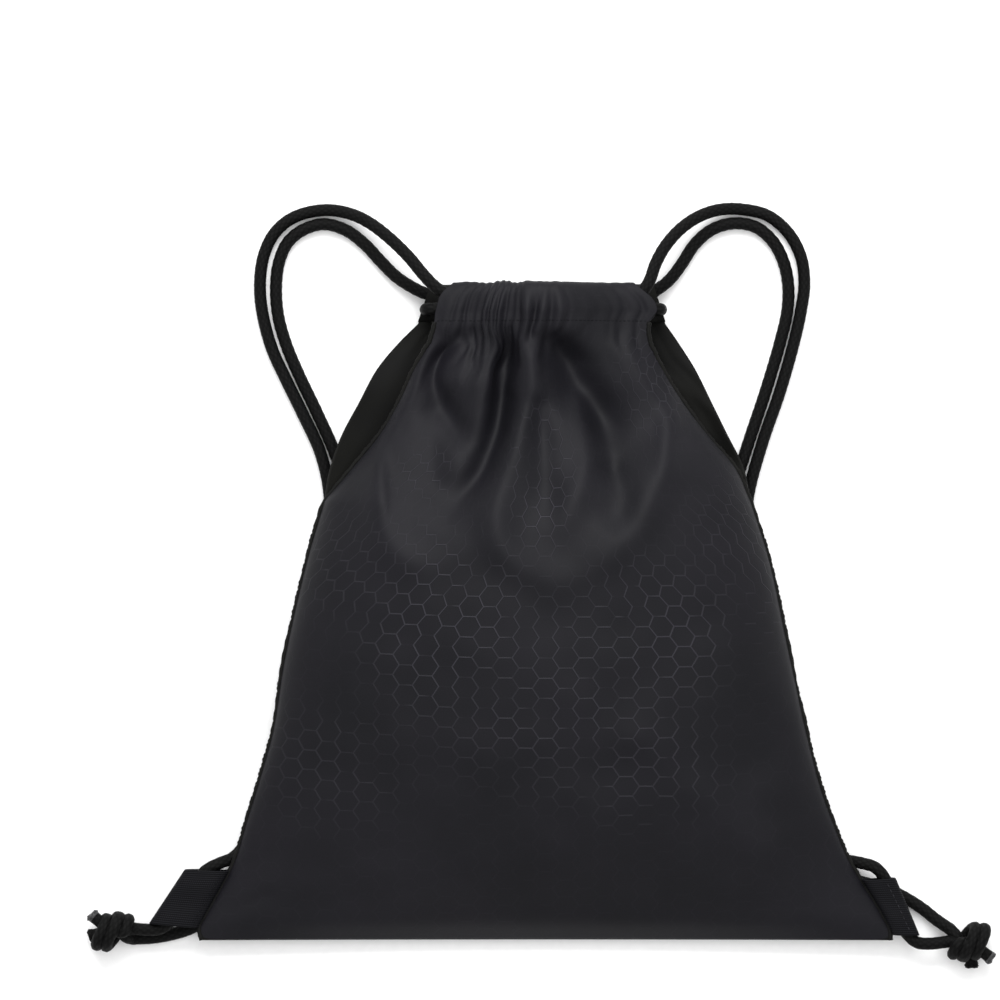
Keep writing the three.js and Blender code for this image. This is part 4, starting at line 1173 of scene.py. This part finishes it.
# Shares of the tab's width, at its lower and its upper edge: heights of its root and of its
# fold, and how far the fold stands out. sewn: angle round the loop of its stitches.
TABS = {
    "left": {"side": -1, "root": (1.2, 0.24), "fold": (1.22, 0.32), "out": (0.76, 0.86), "sewn": 128},
    "right": {"side": 1, "root": (1.05, 0.12), "fold": (1.08, 0.12), "out": (0.6, 0.45), "sewn": 78},
}


def tab_point(row, share, angle):
    """Point of a tab's outside at a share of its width and an angle round its loop."""
    side = row["side"]

    def seam(y):
        return side * (half_width(np.full_like(y, side), y, False) + SEAM_GAP)

    corners = []
    for height, out in zip(row["fold"], row["out"]):
        corners.append(seam(np.array([TAB_WIDTH * height]))[0] + side * TAB_WIDTH * out)
    root_y = TAB_WIDTH * mix(*row["root"], share)
    fold_y = TAB_WIDTH * mix(*row["fold"], share)
    fold_x = mix(*corners, share)
    reach = 0.5 + 0.5 * squared(np.cos(angle))
    lift = np.sin(angle)
    sag = 0.5 * np.sin(share * math.pi * 3 + side) * np.abs(lift)
    z = TAB_MIDDLE + TAB_HALF_HEIGHT * squared(lift) + sag
    return np.stack([mix(seam(root_y), fold_x, reach), mix(root_y, fold_y, reach), z], axis=2)


def webbing_tab(name, row):
    share, angle = np.meshgrid(np.linspace(0, 1, TAB_COLUMNS), np.linspace(-math.pi, math.pi, TAB_ROWS))
    points = tab_point(row, share, angle)
    maps = np.stack([run_along(points), share * TAB_WIDTH], axis=2) * MM
    # Selvedges: the two edges of the webbing are woven a little thicker.
    points[:, :, 2] += 0.25 * np.exp(-(share * TAB_WIDTH - 1.2) ** 2) * np.sign(np.sin(angle))
    points[-1] = points[0]
    piece = shaped_grid(name, place(points), maps, closed=True)
    thicken(piece, WEBBING * 0.9 * MM)
    edges = piece.modifiers.new("edges", "BEVEL")
    edges.width = 0.0003
    edges.segments = 2
    edges.limit_method = "ANGLE"
    edges.angle_limit = math.radians(60)
    apply_all(piece)
    finish_with(piece, WEBBING_FINISH)
    return piece


tabs = {side: webbing_tab(f"{side}_webbing_tab", row) for side, row in TABS.items()}


# Stitches.

def stitch_row(name, starts, ends, ups, thick, finish):
    """Sewn stitches, each a short thread that bows out of the cloth, from start to end."""
    bpy.ops.object.select_all(action="DESELECT")
    bpy.ops.mesh.primitive_uv_sphere_add(segments=8, ring_count=6, radius=0.5)
    one = bpy.context.active_object
    shape = np.array([v.co[:] for v in one.data.vertices])
    copies = []
    for start, end, up in zip(starts, ends, ups):
        ahead = unit(end - start)
        up = unit(up - ahead * np.dot(up, ahead))
        middle = (start + end) / 2 + up * thick * 0.25
        axes = np.array([np.cross(up, ahead) * thick, up * thick, end - start])
        bow = 0.3 * thick * up * (1 - (2 * shape[:, 2:3]) ** 2)
        copy = one.copy()
        copy.data = one.data.copy()
        bpy.context.scene.collection.objects.link(copy)
        copy.data.vertices.foreach_set("co", place(middle + shape @ axes + bow).reshape(-1))
        copies.append(copy)
    bpy.data.objects.remove(one)
    row = joined(name, copies)
    shade_smooth(row.data)
    finish_with(row, finish)
    return row


HEM_STITCHES = 58
STITCH_MARGIN = 2.0
STITCH_SHARE = 0.72  # of the pitch, the rest is the gap


def hem_stitch_row():
    """Stitches spaced evenly along the seam between the front panel and its hem."""
    at_seam = FRONT_ROWS - 1
    line = front_points[at_seam]
    run = run_along(line)
    stops = np.linspace(STITCH_MARGIN, run[-1] - STITCH_MARGIN, HEM_STITCHES + 1)
    starts = stops[:-1]
    ends = starts + (stops[1] - stops[0]) * STITCH_SHARE
    slopes = [np.gradient(front_points, axis=axis)[at_seam] for axis in (1, 0)]
    normals = points_at(starts, run, np.cross(*slopes))
    places = [points_at(stop, run, line) for stop in (starts, ends)]
    return stitch_row("front_hem_stitches", *places, normals, 0.34, THREAD_FINISH)


TAB_STITCHES = 9


def tab_stitch_row(side, row):
    """Stitches across a tab, from its lower edge to its upper one."""
    first = 0.08 + 0.095 * np.arange(TAB_STITCHES)
    share = np.stack([first, first + 0.065], axis=1)
    ends = tab_point(row, share, np.full(share.shape, math.radians(row["sewn"])))
    ups = [np.array([0.0, 0.0, 1.0])] * TAB_STITCHES
    # The right tab's stitches are drawn lighter, with a brighter painted glint.
    finish = LIGHTER_GLINT_THREAD_FINISH if side == "right" else THREAD_FINISH
    return stitch_row(f"{side}_tab_stitches", ends[:, 0], ends[:, 1], ups, 0.6, finish)


hem_stitches = hem_stitch_row()
tab_stitches = {side: tab_stitch_row(side, row) for side, row in TABS.items()}


# Surface under the bag.

bpy.ops.object.select_all(action="DESELECT")
bpy.ops.mesh.primitive_plane_add(size=CARD_SIZE)
card = bpy.context.active_object
card.name = "white_card"
finish_with(card, CARD_FINISH)


# Each piece moves with the bag and takes the place of the part's solids.

def settle(piece, slot, *solids):
    """The piece moves with the bag and takes the place of some solids. slot is not used."""
    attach(piece, "root")
    if solids:
        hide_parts(*solids)


for side in SIDES:
    knot = knots[side]
    settle(knot, "cord", f"{side}_knot")
    for layer in ("front", "back"):
        key = f"{side}_{layer}"
        piece, line, length = strands[key]
        settle(piece, "cord", f"{side}_cord_{layer}_strand")
    solids = [f"{side}_cord_{name}" for name in ("in_front_hem", "bight", "in_back_hem")]
    settle(inside_hems[side], "cord", *solids)
    settle(welts[side], "coated_cloth")
    settle(tabs[side], "webbing", f"{side}_tab")
    settle(tab_stitches[side], "webbing")
settle(front, "embossed_cloth", "front_panel", "front_hem")
settle(back, "coated_cloth", "back_panel", "back_hem")
settle(hem_stitches, "embossed_cloth")
